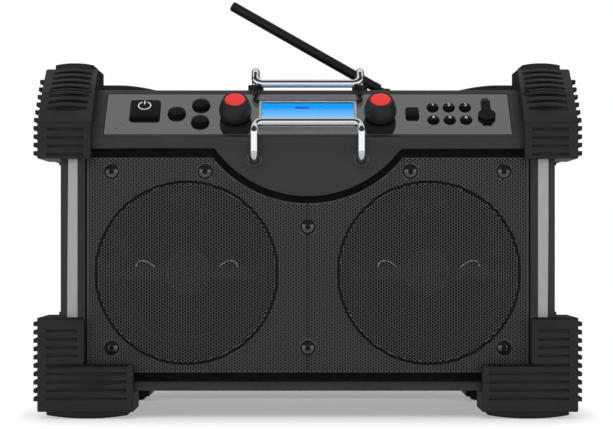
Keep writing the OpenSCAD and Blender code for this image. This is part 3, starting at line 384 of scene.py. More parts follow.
SPEAKER_X = 118
SPEAKER_Z = 141
RING_RADIUS = 88.5
LIGHTS_BORDER = -0.1839
FINISHES["grille_steel"] = steel_with_painted_sheen("grille steel", (0.034, 0.0345, 0.035), (0.062, 0.0625, 0.063))
FINISHES["light_lens"] = two_lenses("light lens", (0.15, 0.16, 0.08), (0.13, 0.14, 0.42),
                                    LIGHTS_BORDER)
FINISHES["circuit_board"] = circuit_board("circuit board", (0.02, 0.12, 0.06))
FINISHES["baffle_board"] = chip_board("baffle board", (0.004, 0.004, 0.004))
FINISHES["cone_paper"] = felted_paper("cone paper", (0.006, 0.006, 0.006))
FINISHES["transformer_core"] = stacked_sheets("transformer core", (0.15, 0.13, 0.11))
print("patterned finishes: 6")

# %% [markdown]
# ## The display
#
# A backlit display is lit by a strip along its lower edge, so it is pale below and deep blue above. The
# light comes out of the surface itself, as emission, and a short dark field marks where it writes.

# %% display finish
PANEL_SLOPE = np.radians(41)
PANEL_EDGE = 0.273
WINDOW_LOW = 17
WINDOW_HIGH = 56
DEEP_BLUE = (0.004, 0.33, 0.93)
PALE_BLUE = (0.36, 0.75, 0.93)
FIELD_BLUE = (0.006, 0.12, 0.62)
PALE_BAND = 3
DEEP_BAND = 9
FIELD_X = -0.0055
FIELD_V = 46.5
FIELD_HALF_WIDTH = 0.0068
FIELD_HALF_HEIGHT = 0.0011


def slope_height(v):
    """Height of a point v millimetres up the panel's slope."""
    return PANEL_EDGE + v * MM * np.sin(PANEL_SLOPE)


def backlit(name):
    """Emission that blends from pale to deep blue, with one darker field."""
    finish = Finish(name, (0.0, 0.0, 0.0), 0.4, Specular_IOR_Level=0.0, Emission_Strength=1.0)
    height = finish.along(2)
    rise = height.ramp(slope_height(WINDOW_LOW + PALE_BAND), slope_height(WINDOW_HIGH - DEEP_BAND))
    glow = rise.blend(PALE_BLUE, DEEP_BLUE)
    wide = (finish.along(0) - FIELD_X).size() < FIELD_HALF_WIDTH
    tall = (height - slope_height(FIELD_V)).size() < FIELD_HALF_HEIGHT
    finish.paint("Emission Color", (wide * tall).blend(glow, FIELD_BLUE))
    return finish.material


FINISHES["display_blue"] = backlit("display blue")
print("display from", round(slope_height(WINDOW_LOW), 4), "to", round(slope_height(WINDOW_HIGH), 4))

# %% [markdown]
# ## Dressing the solids
#
# Each solid takes the finish of its material slot. Those that get a softened or a turned version below
# are no longer shown themselves, but stay in the frame.

# %% dress the solids
slot_of = {part["node"]: part["material_slot"] for part in frame["record"]["subparts"]}
bodies = frame["record"]["behaviour"]["bodies"]
body_of = {node: body for body, nodes in bodies.items() for node in nodes}

for node, solid in frame["nodes"].items():
    solid.data.materials.clear()
    solid.data.materials.append(FINISHES[slot_of[node]])
print("dressed solids:", len(slot_of))

# %% [markdown]
# ## From arrays to pieces
#
# A surface here is an array of points worked out in one go, and a list of faces that index them.
# `grid_faces` joins a grid of points into quads, `add_mesh` makes the object, and `finish_piece` gives it its
# finish and its body and hides the solids that it stands for.

# %% mesh helpers


def add_mesh(name, points, faces, smooth=True):
    """An object at the origin from points and faces."""
    mesh = bpy.data.meshes.new(name)
    mesh.from_pydata(np.asarray(points, float).reshape(-1, 3), [], [tuple(f) for f in faces])
    mesh.update()
    mesh.polygons.foreach_set("use_smooth", np.full(len(mesh.polygons), smooth))
    piece = bpy.data.objects.new(name, mesh)
    bpy.context.scene.collection.objects.link(piece)
    return piece


def finish_piece(piece, slot, body, *nodes):
    """Gives a piece its finish and its body, and hides the solids it stands for."""
    piece.data.materials.clear()
    piece.data.materials.append(FINISHES[slot])
    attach(piece, body)
    if nodes:
        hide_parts(*nodes)
    return piece


def grid_faces(rows, columns, wrap_rows=False, wrap_columns=False):
    """Quads between neighbours of a grid stored row by row; a wrapped direction closes on itself."""
    r, c = np.meshgrid(np.arange(rows if wrap_rows else rows - 1),
                       np.arange(columns if wrap_columns else columns - 1), indexing="ij")
    r2, c2 = (r + 1) % rows, (c + 1) % columns
    quads = np.stack([r * columns + c, r * columns + c2, r2 * columns + c2, r2 * columns + c], -1)
    return quads.reshape(-1, 4)


def placed(points, matrix):
    """Points moved by a matrix."""
    m = np.array(matrix)
    return np.asarray(points) @ m[:3, :3].T + m[:3, 3]


def crisp(piece, angle):
    """Shades smoothly, but keeps edges sharper than the angle in degrees."""
    piece.data.set_sharp_from_angle(angle=np.radians(angle))
    return piece


print("helpers: add_mesh, finish_piece, grid_faces, placed, crisp")

# %% [markdown]
# ## Softened edges
#
# No moulded edge is perfectly sharp: it has a small radius that catches the light. The solid's
# triangles are joined into flat faces first, because a bevel would otherwise also run along the lines
# between triangles, and faces with a hole or a notch are split into convex ones, which cannot fold over.
# Then a Bevel modifier rounds the true edges, by at most a fifth of the room that the walls beside them
# leave, so that a groove or a fin keeps its shape. The normals are weighted by area, so that a large
# face still shades flat.

# %% softened copies
FLAT_WITHIN = np.radians(1.0)
BEVEL_OVER = np.radians(28)
ROOM_SHARE = 0.2
LEAST_WEIGHT = 0.15
SAME_POINT = 0.0001
TOUCHING = 0.000004


def room_beside(edge, face):
    """How far from an edge the nearest corner of a face lies that is level with the edge."""
    start = edge.verts[0].co
    along = (edge.verts[1].co - start).normalized()
    room = 1.0
    for vert in face.verts:
        way = vert.co - start
        place = along.dot(way)
        off = (way - along * place).length
        if off > SAME_POINT and -SAME_POINT < place < edge.calc_length() + SAME_POINT:
            room = min(room, off)
    return room


def weigh_edges(work, width):
    """Bevel weights: 1 on true edges with room for the width, less on others, 0 on flat or tiny ones."""
    weights = work.edges.layers.float.new("bevel_weight_edge")
    for edge in work.edges:
        if len(edge.link_faces) == 2 and edge.calc_face_angle() > BEVEL_OVER:
            room = min(room_beside(edge, face) for face in edge.link_faces)
            weight = min(1.0, ROOM_SHARE * room / width)
            edge[weights] = weight if weight > LEAST_WEIGHT else 0.0


def softened(node, width, segments=2):
    """A copy of a solid with rounded edges, which stands for it."""
    mesh = frame["nodes"][node].data.copy()
    work = bmesh.new()
    work.from_mesh(mesh)
    bmesh.ops.remove_doubles(work, verts=work.verts, dist=TOUCHING)
    bmesh.ops.dissolve_limit(work, angle_limit=FLAT_WITHIN, verts=work.verts, edges=work.edges)
    bmesh.ops.connect_verts_concave(work, faces=work.faces)
    weigh_edges(work, width)
    work.to_mesh(mesh)
    work.free()
    mesh.polygons.foreach_set("use_smooth", np.full(len(mesh.polygons), True))
    piece = bpy.data.objects.new(node + "_soft", mesh)
    bpy.context.scene.collection.objects.link(piece)
    bevel = piece.modifiers.new("rounded edges", "BEVEL")
    bevel.width = width
    bevel.segments = segments
    bevel.limit_method = "WEIGHT"
    bevel.use_clamp_overlap = False
    bevel.loop_slide = False
    piece.modifiers.new("flat faces", "WEIGHTED_NORMAL")
    return finish_piece(piece, slot_of[node], body_of[node], node)


EDGE_RADIUS = {
    "main_housing": 0.0016,
    "front_frame": 0.0010,
    "rear_cover": 0.0008,
    "side_grips": 0.0015,
    "battery_door": 0.0006,
    "control_panel": 0.0010,
    "display_lens": 0.0004,
    "mains_inlet": 0.0006,
    "aerial_base": 0.0006,
    "aerial_knuckle": 0.0008,
    "transformer": 0.0010,
}
for node, width in EDGE_RADIUS.items():
    softened(node, width)
print("softened:", len(EDGE_RADIUS))

# %% [markdown]
# ## The corner bumpers
#
# The bumpers are thick rubber, so their edges are the roundest of all. They are the same solids with a
# wider, three-step bevel.

# %% bumpers
BUMPER_RADIUS = 0.0028
bumpers = [node for node in frame["nodes"] if node.endswith("_bumper")]
for node in bumpers:
    softened(node, BUMPER_RADIUS, segments=3)
print("bumpers:", len(bumpers))

# %% [markdown]
# ## The panel's own frame
#
# The control panel slopes by 41 degrees. Everything on it is drawn lying flat, with u across, v up the
# slope and w out of its face, and one matrix then tips it into place.

# %% panel frame
PANEL = Matrix.Translation((0, front_y, PANEL_EDGE)) @ Matrix.Rotation(PANEL_SLOPE, 4, "X")


def on_panel(u, v, w=0.0):
    """The matrix that puts a piece at (u, v, w) millimetres on the panel."""
    return PANEL @ Matrix.Translation((u * MM, v * MM, w * MM))


def turned(profile, around=64, flutes=0, depth=0.0, band=(0, 0)):
    """A profile of (radius, height) millimetres carried round the z axis, closed at both ends.

    Inside the band of heights, r(a) = radius - depth * (1 - |sin(flutes * a / 2)|): shallow flutes.
    """
    profile = np.asarray(profile, float)
    angle = np.linspace(0, 2 * np.pi, around, endpoint=False)
    radius, height = profile[:, :1], profile[:, 1:]
    inside = (height > band[0]) & (height < band[1])
    radius = radius - inside * depth * (1 - np.abs(np.sin(flutes * angle / 2)))[None, :]
    level = np.broadcast_to(height, radius.shape)
    points = np.stack([radius * np.cos(angle), radius * np.sin(angle), level], -1).reshape(-1, 3)
    faces = [tuple(f) for f in grid_faces(len(profile), around, wrap_columns=True)]
    ring = np.arange(around)
    faces += [tuple(ring[::-1]), tuple(ring + (len(profile) - 1) * around)]
    return points * MM, faces


def rounder(points, steps=5):
    """More points on a smooth curve through the given ones: Catmull and Rom's spline."""
    p = np.array(points, float)
    padded = np.vstack([2 * p[0] - p[1], p, 2 * p[-1] - p[-2]])
    t = np.linspace(0, 1, steps, endpoint=False)[:, None]
    a, b, c, d = (padded[i:len(padded) - 3 + i, None, :] for i in range(4))
    curve = 0.5 * (2 * b + (c - a) * t + (2 * a - 5 * b + 4 * c - d) * t**2
                   + (3 * b - a - 3 * c + d) * t**3)
    return np.vstack([curve.reshape(-1, 2), p[-1:]])


print("panel origin:", tuple(round(v, 4) for v in PANEL.translation))

# %% [markdown]
# ## Knobs
#
# A knob is turned from one profile: a barrel that is drawn in at the foot and rounded over at the top,
# with fine flutes for the fingers, and a red cap let into its crown.

# %% knobs
KNOB_U = 71
KNOB_V = 31.5
BARREL = [
    (12.9, 1.25), (14.2, 1.6), (15.1, 2.9), (15.7, 5.4), (15.95, 8.2), (15.6, 11.2), (14.8, 14.6),
    (13.6, 18.0), (12.5, 20.8), (12.0, 21.7), (11.3, 22.0), (10.4, 21.75), (9.95, 21.2),
]
CAP = [(9.8, 20.5), (9.8, 21.5), (9.4, 21.95), (6.0, 22.15), (0.4, 22.2)]
SOCKET = [(3.0, 4.2), (5.1, 4.2), (5.1, 1.2)]
VOLUME_STEM = [(3.0, -7.2)]
TUNING_STEM = [(2.0, -6.6), (2.0, -4.5), (3.0, -4.5)]

for side, word, stem in ((-1, "volume", VOLUME_STEM), (1, "tuning", TUNING_STEM)):
    where = on_panel(side * KNOB_U, KNOB_V)
    body = body_of[word + "_knob"]
    profile = np.vstack([stem, SOCKET, rounder(BARREL), [(9.9, 20.5)]])
    points, faces = turned(profile, 144, flutes=36, depth=0.25, band=(3.5, 16.0))
    knob = add_mesh(word + "_knob_turned", placed(points, where), faces)
    crisp(finish_piece(knob, "knob_black", body, word + "_knob"), 35)
    points, faces = turned(rounder(CAP, 3))
    cap = add_mesh(word + "_cap_turned", placed(points, where), faces)
    crisp(finish_piece(cap, "cap_red", body, word + "_knob_cap"), 35)
print("knobs: 2, each with its cap")

# %% [markdown]
# ## Round buttons
#
# The three function buttons and the six presets are turned too. Below the plate each has a flange that
# keeps it in, and a short stem over its switch.

# %% round buttons
LARGE_HEIGHT = 3.4
PRESET_HEIGHT = 2.4
LARGE_RADIUS = 8.65
PRESET_RADIUS = 5.65
FLANGE = 1.1
FLANGE_LOW = -3.2
FLANGE_HIGH = -2.2
STEM_END = -5.5
STEM_RADIUS = 1.8


def round_button(node, place, radius, height, crown):
    """A turned button whose top rises by crown in the middle."""
    profile = [
        (STEM_RADIUS, STEM_END), (STEM_RADIUS, FLANGE_LOW), (radius + FLANGE, FLANGE_LOW),
        (radius + FLANGE, FLANGE_HIGH), (radius, FLANGE_HIGH), (radius, height - 1.0),
        (radius - 0.2, height - 0.5), (radius - 0.7, height - 0.1), (radius * 0.7, height + 0.30 * crown),
        (radius * 0.35, height + 0.45 * crown), (0.3, height + 0.5 * crown),
    ]
    points, faces = turned(profile, 56)
    piece = add_mesh(node + "_turned", placed(points, on_panel(*place)), faces)
    crisp(finish_piece(piece, "button_rubber", body_of[node], node), 50)


FUNCTION_PLACES = {"mode": (-128.9, 36.4), "band": (-105.4, 49.8), "tone": (-105.4, 22.9)}
FUNCTION_CROWN = 0.8
PRESET_CENTRE = (139.2, 36.7)
PRESET_PITCH = 16.0
PRESET_ROWS = 20.0
PRESET_CROWN = 1.4
for word, place in FUNCTION_PLACES.items():
    round_button(word + "_button", place, LARGE_RADIUS, LARGE_HEIGHT, FUNCTION_CROWN)
presets = {
    i + 1: (PRESET_CENTRE[0] + (i % 3 - 1) * PRESET_PITCH, PRESET_CENTRE[1] + (0.5 - i // 3) * PRESET_ROWS)
    for i in range(6)
}
for number, place in presets.items():
    round_button(f"preset_button_{number}", place, PRESET_RADIUS, PRESET_HEIGHT, PRESET_CROWN)
print("round buttons:", len(FUNCTION_PLACES) + len(presets))

# %% [markdown]
# ## Square buttons
#
# A square with rounded corners is a superellipse, |x/a|^n + |y/b|^n = 1 with a high n. Outlines of
# slowly changing size, stacked up, make the flange, the sides and the rounded top edge.

# %% square buttons


def square_button(node, place, width, length, height, power):
    """A stack of superellipse outlines."""
    angle = np.linspace(0, 2 * np.pi, 96, endpoint=False)
    c, s = np.cos(angle), np.sin(angle)
    unit = np.column_stack([np.sign(c) * np.abs(c) ** (2 / power), np.sign(s) * np.abs(s) ** (2 / power)])
    levels = np.array([(1.0, FLANGE_LOW), (1.0, FLANGE_HIGH), (0, FLANGE_HIGH), (0, height - 0.9),
                       (-0.25, height - 0.35), (-0.8, height), (-2.2, height + 0.12)])
    half = levels[:, None, :1] + np.array([width / 2, length / 2])
    level = np.broadcast_to(levels[:, None, 1:], (len(levels), len(angle), 1))
    points = np.concatenate([unit * half, level], -1).reshape(-1, 3) * MM
    ring = np.arange(len(angle))
    faces = [tuple(f) for f in grid_faces(len(levels), len(angle), wrap_columns=True)]
    faces += [tuple(ring[::-1]), tuple(ring + (len(levels) - 1) * len(angle))]
    piece = add_mesh(node + "_moulded", placed(points, on_panel(*place)), faces)
    crisp(finish_piece(piece, "button_rubber", body_of[node], node), 50)


POWER_PLACE = (-160.3, 41.0)
POWER_SIZE = (29, 29.5)
ALARM_PLACE = (102.8, 36.4)
ALARM_SIZE = (12.4, 15.2)
square_button("power_button", POWER_PLACE, *POWER_SIZE, LARGE_HEIGHT, power=16)
square_button("alarm_button", ALARM_PLACE, *ALARM_SIZE, LARGE_HEIGHT, power=8)
print("square buttons: 2")

# %% [markdown]
# ## Printed marks
#
# The on/off symbol and the numbers are printed in white ink. Each stroke is a flat ribbon along a line
# of points, laid just above the top of its button.

# %% strokes


def ribbon(line, width, level):
    """A flat ribbon along a line of (x, y) millimetres: the line moved half a width to each side."""
    line = np.asarray(line, float)
    step = np.gradient(line, axis=0)
    step /= np.linalg.norm(step, axis=1, keepdims=True)
    side = np.column_stack([-step[:, 1], step[:, 0]]) * width / 2
    flat = np.concatenate([line - side, line + side])
    return np.column_stack([flat, np.full(len(flat), level)]) * MM, grid_faces(2, len(line))


def arc(x, y, radius, start, end, steps=24):
    """Points on an arc from one angle to another, in degrees."""
    angle = np.radians(np.linspace(start, end, steps))
    return np.column_stack([x + radius * np.cos(angle), y + radius * np.sin(angle)])


def straight(*corners):
    """Points on straight lines from corner to corner."""
    ends = np.array(corners, float)
    return np.vstack([np.linspace(a, b, 5) for a, b in zip(ends, ends[1:])])


DIGITS = {
    1: [straight((-0.6, 1.0), (0.2, 1.6)), straight((0.2, 1.6), (0.2, -1.6))],
    2: [arc(0, 0.7, 0.9, 170, -35), straight((0.74, 0.2), (-0.9, -1.5)),
        straight((-0.9, -1.5), (1.0, -1.5))],
    3: [arc(0, 0.8, 0.8, 150, -85), arc(0, -0.75, 0.9, 85, -150)],
    4: [straight((0.4, -1.6), (0.4, 1.6)), straight((0.4, 1.6), (-1.0, -0.6)),
        straight((-1.0, -0.6), (1.0, -0.6))],
    5: [straight((0.9, 1.5), (-0.7, 1.5)), straight((-0.7, 1.5), (-0.7, 0.2)),
        arc(-0.05, -0.6, 0.98, 125, -150)],
    6: [arc(0, -0.65, 0.9, 0, 360), arc(0.9, -0.5, 1.85, 180, 112)],
}
print("digits:", sorted(DIGITS))

# %% print them
INKS = {
    "white_ink": moulded("white ink", (0.85, 0.86, 0.87), 0.5, drift=0.03),
    "grey_ink": moulded("grey ink", (0.34, 0.37, 0.37), 0.5, drift=0.03),
}
WINDOW_HALF = 47.0
BORDER_WIDTH = 2.0
SYMBOL = [arc(0, 0, 6.0, 112, 428, 48), straight((0, 7.9), (0, 1.8))]
SYMBOL_WIDTH = 1.1
SYMBOL_PLACE = (POWER_PLACE[0] - 0.6, POWER_PLACE[1] + 4.6)
SYMBOL_LEVEL = LARGE_HEIGHT + 0.16
DIGIT_WIDTH = 0.62
DIGIT_SCALE = 1.15
DIGIT_RISE = 0.9
DIGIT_LEVEL = PRESET_HEIGHT + 0.78
BORDER_LEVEL = 0.12


def printed(name, lines, width, level, where, body, ink="white_ink"):
    """One piece of ink from several ribbons."""
    parts = [ribbon(line, width, level) for line in lines]
    starts = np.cumsum([0] + [len(points) for points, _ in parts])
    points = placed(np.vstack([points for points, _ in parts]), where)
    faces = np.vstack([quads + start for (_, quads), start in zip(parts, starts)])
    piece = add_mesh(name, points, faces, smooth=False)
    piece.data.materials.append(INKS[ink])
    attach(piece, body)


printed("power_symbol", SYMBOL, SYMBOL_WIDTH, SYMBOL_LEVEL, on_panel(*SYMBOL_PLACE),
        body_of["power_button"])
for number, place in presets.items():
    lines = [line * DIGIT_SCALE + (0, DIGIT_RISE) for line in DIGITS[number]]
    printed(f"number_{number}", lines, DIGIT_WIDTH, DIGIT_LEVEL, on_panel(*place),
            body_of[f"preset_button_{number}"])
low, high, side = WINDOW_LOW - 0.2, WINDOW_HIGH + 0.2, WINDOW_HALF + 1.0
border = [straight((-side, v), (side, v)) for v in (low, high)]
border += [straight((u, low), (u, high)) for u in (-WINDOW_HALF, WINDOW_HALF)]
printed("window_border", border, BORDER_WIDTH, BORDER_LEVEL, on_panel(0, 0), "cabinet", ink="grey_ink")
print("printed marks:", 2 + len(presets))

# %% [markdown]
# ## The grille's outline
#
# The grille is one steel sheet that follows the opening's edges and the round apron. Two functions say
# how far inside that outline a point lies and bring a point that is outside back onto it.

# %% grille outline
SETBACK = 6.0
SHEET_FACE = front_y / MM + SETBACK
SHEET = 1.2
RIM_DEPTH = 2.0
APRON_CENTRE = 327.2
APRON_CLEAR = 118.5

grille_low, grille_high = (np.array(corner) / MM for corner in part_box("speaker_grille"))
screw_places = [(-191, 239.5), (-100, 239.5), (100, 239.5), (191, 239.5), (0, 185.7), (-191, 67.7),
                (0, 67.7), (191, 67.7)]
speaker_places = {"left": (-SPEAKER_X, SPEAKER_Z), "right": (SPEAKER_X, SPEAKER_Z)}


def inside(x, z):
    """How far a point lies inside the outline; below zero it is outside."""
    sides = np.minimum.reduce([x - grille_low[0], grille_high[0] - x, z - grille_low[2], grille_high[2] - z])
    return np.minimum(sides, np.hypot(x, z - APRON_CENTRE) - APRON_CLEAR)


def brought_in(x, z):
    """Points outside the outline, moved onto it."""
    x = np.clip(x, grille_low[0], grille_high[0])
    z = np.clip(z, grille_low[2], grille_high[2])
    push = np.maximum(APRON_CLEAR / np.maximum(np.hypot(x, z - APRON_CENTRE), 1e-9), 1.0)
    return x * push, APRON_CENTRE + (z - APRON_CENTRE) * push


print("sheet from", grille_low.round(1), "to", grille_high.round(1))

# %% [markdown]
# ## The holes
#
# The holes stand in a honeycomb: each is the middle of a six-sided cell, and the cells tile the sheet.
# The holes are real, because the cones behind them have to show. A hole has six sides and a wall as
# deep as the sheet, which is enough at this size. The holes before the speakers are a little wider. Cells
# close to an edge, a screw or a speaker's ring stay closed, and each half of the sheet is a piece of its
# own, to keep the meshes small.

# %% perforated halves
HOLE_PITCH = 2.9
HOLE_RADIUS = 0.98
OPEN_RADIUS = 1.30
EDGE_MARGIN = 1.35
CUP_RADIUS = 7.3
CUP_MARGIN = 1.0
COLUMNS = np.arange(90)
ROWS = np.arange(-1, 75)
RING_WIDTH = 1.3
SIXTH = np.radians(60 * np.arange(6))


def honeycomb(side):
    """Centres of one half's cells, and the corners round each, in millimetres."""
    i, j = np.meshgrid(COLUMNS, ROWS, indexing="ij")
    x = (side * (i + 0.5) * HOLE_PITCH * np.sqrt(3) / 2).ravel()
    z = (grille_low[2] + (j + 0.5 * (i % 2)) * HOLE_PITCH).ravel()
    reach = HOLE_PITCH / np.sqrt(3)
    corner_x = x[:, None] + reach * np.cos(SIXTH)
    corner_z = z[:, None] + reach * np.sin(SIXTH)
    kept = (inside(corner_x, corner_z) > 0).any(1)
    return x[kept], z[kept], corner_x[kept], corner_z[kept]


def hole_radii(x, z):
    """The radius of each cell's hole; 0 where the cell stays closed."""
    radius = np.where(inside(x, z) > EDGE_MARGIN, HOLE_RADIUS, 0)
    for sx, sz in screw_places:
        radius[np.hypot(x - sx, z - sz) < CUP_RADIUS + CUP_MARGIN] = 0
    for sx, sz in speaker_places.values():
        from_ring = np.hypot(x - sx, z - sz) - RING_RADIUS
        radius[from_ring < 0] = OPEN_RADIUS
        radius[np.abs(from_ring) < RING_WIDTH] = 0
    return radius


def plane_points(x, y, z):
    """Points (x, y, z) from arrays x and z and one depth y."""
    return np.stack([x, np.full_like(x, y), z], -1).reshape(-1, 3)


def perforated(side):
    """Cells joined to their holes by six quads each, and a wall of six quads in each hole."""
    x, z, corner_x, corner_z = honeycomb(side)
    radius = hole_radii(x, z)
    is_open = radius > 0
    corner_x, corner_z = brought_in(corner_x, corner_z)
    corners = plane_points(side * np.maximum(side * corner_x, 0), SHEET_FACE, corner_z)
    hole_x = x[is_open][:, None] + radius[is_open][:, None] * np.cos(SIXTH)
    hole_z = z[is_open][:, None] + radius[is_open][:, None] * np.sin(SIXTH)
    front = plane_points(hole_x, SHEET_FACE, hole_z)
    back = plane_points(hole_x, SHEET_FACE + SHEET, hole_z)
    cells = np.arange(len(x)) * 6
    k, k2 = np.arange(6), (np.arange(6) + 1) % 6
    outer = cells[is_open][:, None]
    near = len(corners) + (np.arange(is_open.sum()) * 6)[:, None]
    far = near + len(front)
    web = np.stack([outer + k, outer + k2, near + k2, near + k], -1).reshape(-1, 4)
    wall = np.stack([near + k, near + k2, far + k2, far + k], -1).reshape(-1, 4)
    closed = cells[~is_open][:, None] + k
    return np.concatenate([corners, front, back]) * MM, [*closed, *web, *wall], int(is_open.sum())


print("cells:", HOLE_PITCH, "mm from hole to hole")

# %% build the grille
def merged(piece, touching=0.00002):
    """Joins the points of neighbouring cells. The faces already point to the front."""
    work = bmesh.new()
    work.from_mesh(piece.data)
    bmesh.ops.remove_doubles(work, verts=work.verts, dist=touching)
    work.to_mesh(piece.data)
    work.free()
    return piece


holes = 0
for side, word in ((-1, "left"), (1, "right")):
    points, faces, count = perforated(side)
    half = merged(add_mesh("grille_" + word, points, faces, smooth=False))
    finish_piece(half, "grille_steel", "cabinet", "speaker_grille")
    holes += count
print("holes:", holes)

# %% [markdown]
# ## Rim, rings, bosses and screws
#
# The sheet's edge is folded back to the board. Round each speaker a near-black ring stands for the shaded
# groove at the edge of the grille's domed part: painted shade. Each screw sits in a plain boss. A screw head
# is a dome with a six-lobed socket, and a near-black disc in the socket stands for the shade at its bottom:
# painted shade.

# %% rim and rings


def sheet_outline(steps=48):
    """The outline as (x, z) points: the arc round the apron and the three straight sides."""
    right, top, low = grille_high[0], grille_high[2], grille_low[2]
    start = np.arctan2(top - APRON_CENTRE, np.sqrt(APRON_CLEAR**2 - (top - APRON_CENTRE) ** 2))
    angle = np.linspace(start, -np.pi - start, steps)
    curve = np.column_stack([APRON_CLEAR * np.cos(angle), APRON_CENTRE + APRON_CLEAR * np.sin(angle)])
    return np.vstack([curve, [(-right, top), (-right, low), (right, low), (right, top)]])


outline = sheet_outline()
rim = np.vstack([plane_points(outline[:, 0], y, outline[:, 1]) for y in (SHEET_FACE + RIM_DEPTH, SHEET_FACE)])
rim_piece = add_mesh("grille_rim", rim * MM, grid_faces(2, len(outline), wrap_columns=True), smooth=False)
finish_piece(rim_piece, "grille_steel", "cabinet")


def torus(radius, tube, level, around=160, section=12):
    """A ring about the Y axis: a circle of radius tube carried round one of radius radius."""
    a = np.linspace(0, 2 * np.pi, around, endpoint=False)[:, None]
    b = np.linspace(0, 2 * np.pi, section, endpoint=False)[None, :]
    reach = radius + tube * np.cos(b)
    points = np.stack([reach * np.cos(a), level + tube * np.sin(b) + 0 * a, reach * np.sin(a)], -1)
    return points.reshape(-1, 3), grid_faces(around, section, True, True)


# painted shade: a near-black ring in place of the shaded groove round each speaker
for word, (sx, sz) in speaker_places.items():
    points, faces = torus(RING_RADIUS, RING_WIDTH, SHEET_FACE - 0.05)
    ring = add_mesh(word + "_speaker_groove_shade", (points + (sx, 0, sz)) * MM, faces)
    finish_piece(ring, "roll_rubber", "cabinet")

LEG_X = 52
ROD_RADIUS = 4
LEG_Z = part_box("front_guard_bar")[0].z / MM + ROD_RADIUS
SOCKET_HEIGHT = 2.5
SOCKET_RINGS = (5.6, 7.2)
SOCKET_TUBE = 0.5
for side, word in ((-1, "left"), (1, "right")):
    rings = [torus(radius, SOCKET_TUBE, front_y / MM - SOCKET_HEIGHT, 48, 8) for radius in SOCKET_RINGS]
    points = np.vstack([points for points, _ in rings]) + (side * LEG_X, 0, LEG_Z)
    faces = np.vstack([rings[0][1], rings[1][1] + len(rings[0][0])])
    finish_piece(add_mesh(word + "_socket_rings", points * MM, faces), "black_screws", "cabinet")
print("rings:", len(speaker_places), "round the speakers, 4 on the bar's sockets")

# %% bosses and screws
HEAD_RADIUS = 5.9
HEAD_HEIGHT = 2.3
DRIVE_RADIUS = 2.5
DRIVE_LOBE = 0.4
DRIVE_DEPTH = 1.9
BOSS = [(7.4, -2.0), (7.4, -0.1), (7.05, 0.35), (6.4, 0.35), (6.05, -0.1), (6.0, -1.0), (0.3, -1.0)]
SOCKET_SHADE_DISC = [(3.0, 0.2), (3.0, 1.0), (0.3, 1.0)]
FACING_FRONT = Matrix.Rotation(np.pi / 2, 4, "X")


def screw_head(rings=26, around=72):
    """z(r, a) = H (1 - (r/R)^2), less a socket where r is inside the lobes D + L cos 6a."""
    r = np.linspace(1, 0.02, rings)[:, None] * HEAD_RADIUS
    a = np.linspace(0, 2 * np.pi, around, endpoint=False)[None, :]
    dome = HEAD_HEIGHT * (1 - (r / HEAD_RADIUS) ** 2)
    socket = np.clip((DRIVE_RADIUS + DRIVE_LOBE * np.cos(6 * a) - r) / 0.2, 0, 1) * DRIVE_DEPTH
    points = np.stack([r * np.cos(a), r * np.sin(a), dome - socket], -1).reshape(-1, 3)
    ring = np.arange(around)
    ends = [tuple(ring[::-1]), tuple(ring + (rings - 1) * around)]
    return points * MM, [*grid_faces(rings, around, wrap_columns=True), *ends]


def repeated(name, points, faces, slot, angle, *nodes):
    """One piece with a copy of the points at every screw."""
    spots = [Matrix.Translation((x * MM, (SHEET_FACE - 0.1) * MM, z * MM)) @ FACING_FRONT
             for x, z in screw_places]
    copies = np.vstack([placed(points, spot) for spot in spots])
    quads = [tuple(np.array(f) + i * len(points)) for i in range(len(spots)) for f in faces]
    crisp(finish_piece(add_mesh(name, copies, quads), slot, "cabinet", *nodes), angle)


repeated("grille_screw_heads", *screw_head(), "black_screws", 40, "grille_screws")
repeated("grille_screw_bosses", *turned(BOSS, 48), "roll_rubber", 40)
# painted shade: a near-black disc in each screw's socket, for the shade at its bottom
repeated("grille_screw_socket_shade_discs", *turned(SOCKET_SHADE_DISC, 24), "roll_rubber", 40)
print("screws:", len(screw_places))

# %% [markdown]
# ## Speaker leads
#
# Two bare braided leads arch over each cone on their way to the tweeter in the middle. They are thin,
# but they catch the light, and the holes let them through as two rows of bright dots.

# %% leads
LEAD = [(27, 1), (31, 5.5), (37, 10), (43, 11.8), (47.5, 10.5), (49.5, 6.5), (50, 1.5)]
LEAD_RADIUS = 0.7
LEAD_DEPTH = SHEET_FACE + 5.5


def tube(line, radius, around=8):
    """A round tube along a flat line of (x, z) points: a circle across the line at each point."""
    line = np.asarray(line, float)
    step = np.gradient(line, axis=0)
    step /= np.linalg.norm(step, axis=1, keepdims=True)
    a = np.linspace(0, 2 * np.pi, around, endpoint=False)[None, :]
    across = radius * np.cos(a)
    x = line[:, :1] - step[:, 1:] * across
    z = line[:, 1:] + step[:, :1] * across
    points = np.stack([x, radius * np.sin(a) + 0 * x, z], -1).reshape(-1, 3)
    ring = np.arange(around)
    ends = [tuple(ring), tuple(ring[::-1] + (len(line) - 1) * around)]
    return points, [*grid_faces(len(line), around, wrap_columns=True)[:, ::-1], *ends]


for word, (sx, sz) in speaker_places.items():
    for side, hand in ((-1, "left"), (1, "right")):
        points, faces = tube(rounder(LEAD) * (side, 1), LEAD_RADIUS)
        faces = [tuple(f)[::side] for f in faces]
        lead = add_mesh(f"{word}_speaker_{hand}_lead", (points + (sx, LEAD_DEPTH, sz)) * MM, faces)
        finish_piece(lead, "bright_screws", "cabinet")
print("leads: 4")

# %% [markdown]
# ## Floor
#
# The radio stands on a sheet of opal acrylic that is lit from below, as on a table for product pictures.
# The sheet takes the real soft shadow near the radio, and further out its own light is so strong that it
# becomes the plain white of the background, without a horizon line. Near the radio a mask turns that light
# down, so that the real shadow shows, lifted by a share of the glow in front. Behind the radio, where the
# floor is seen through the gap under the cabinet, the glow is turned nearly off to make the floor there
# darker: painted shade.

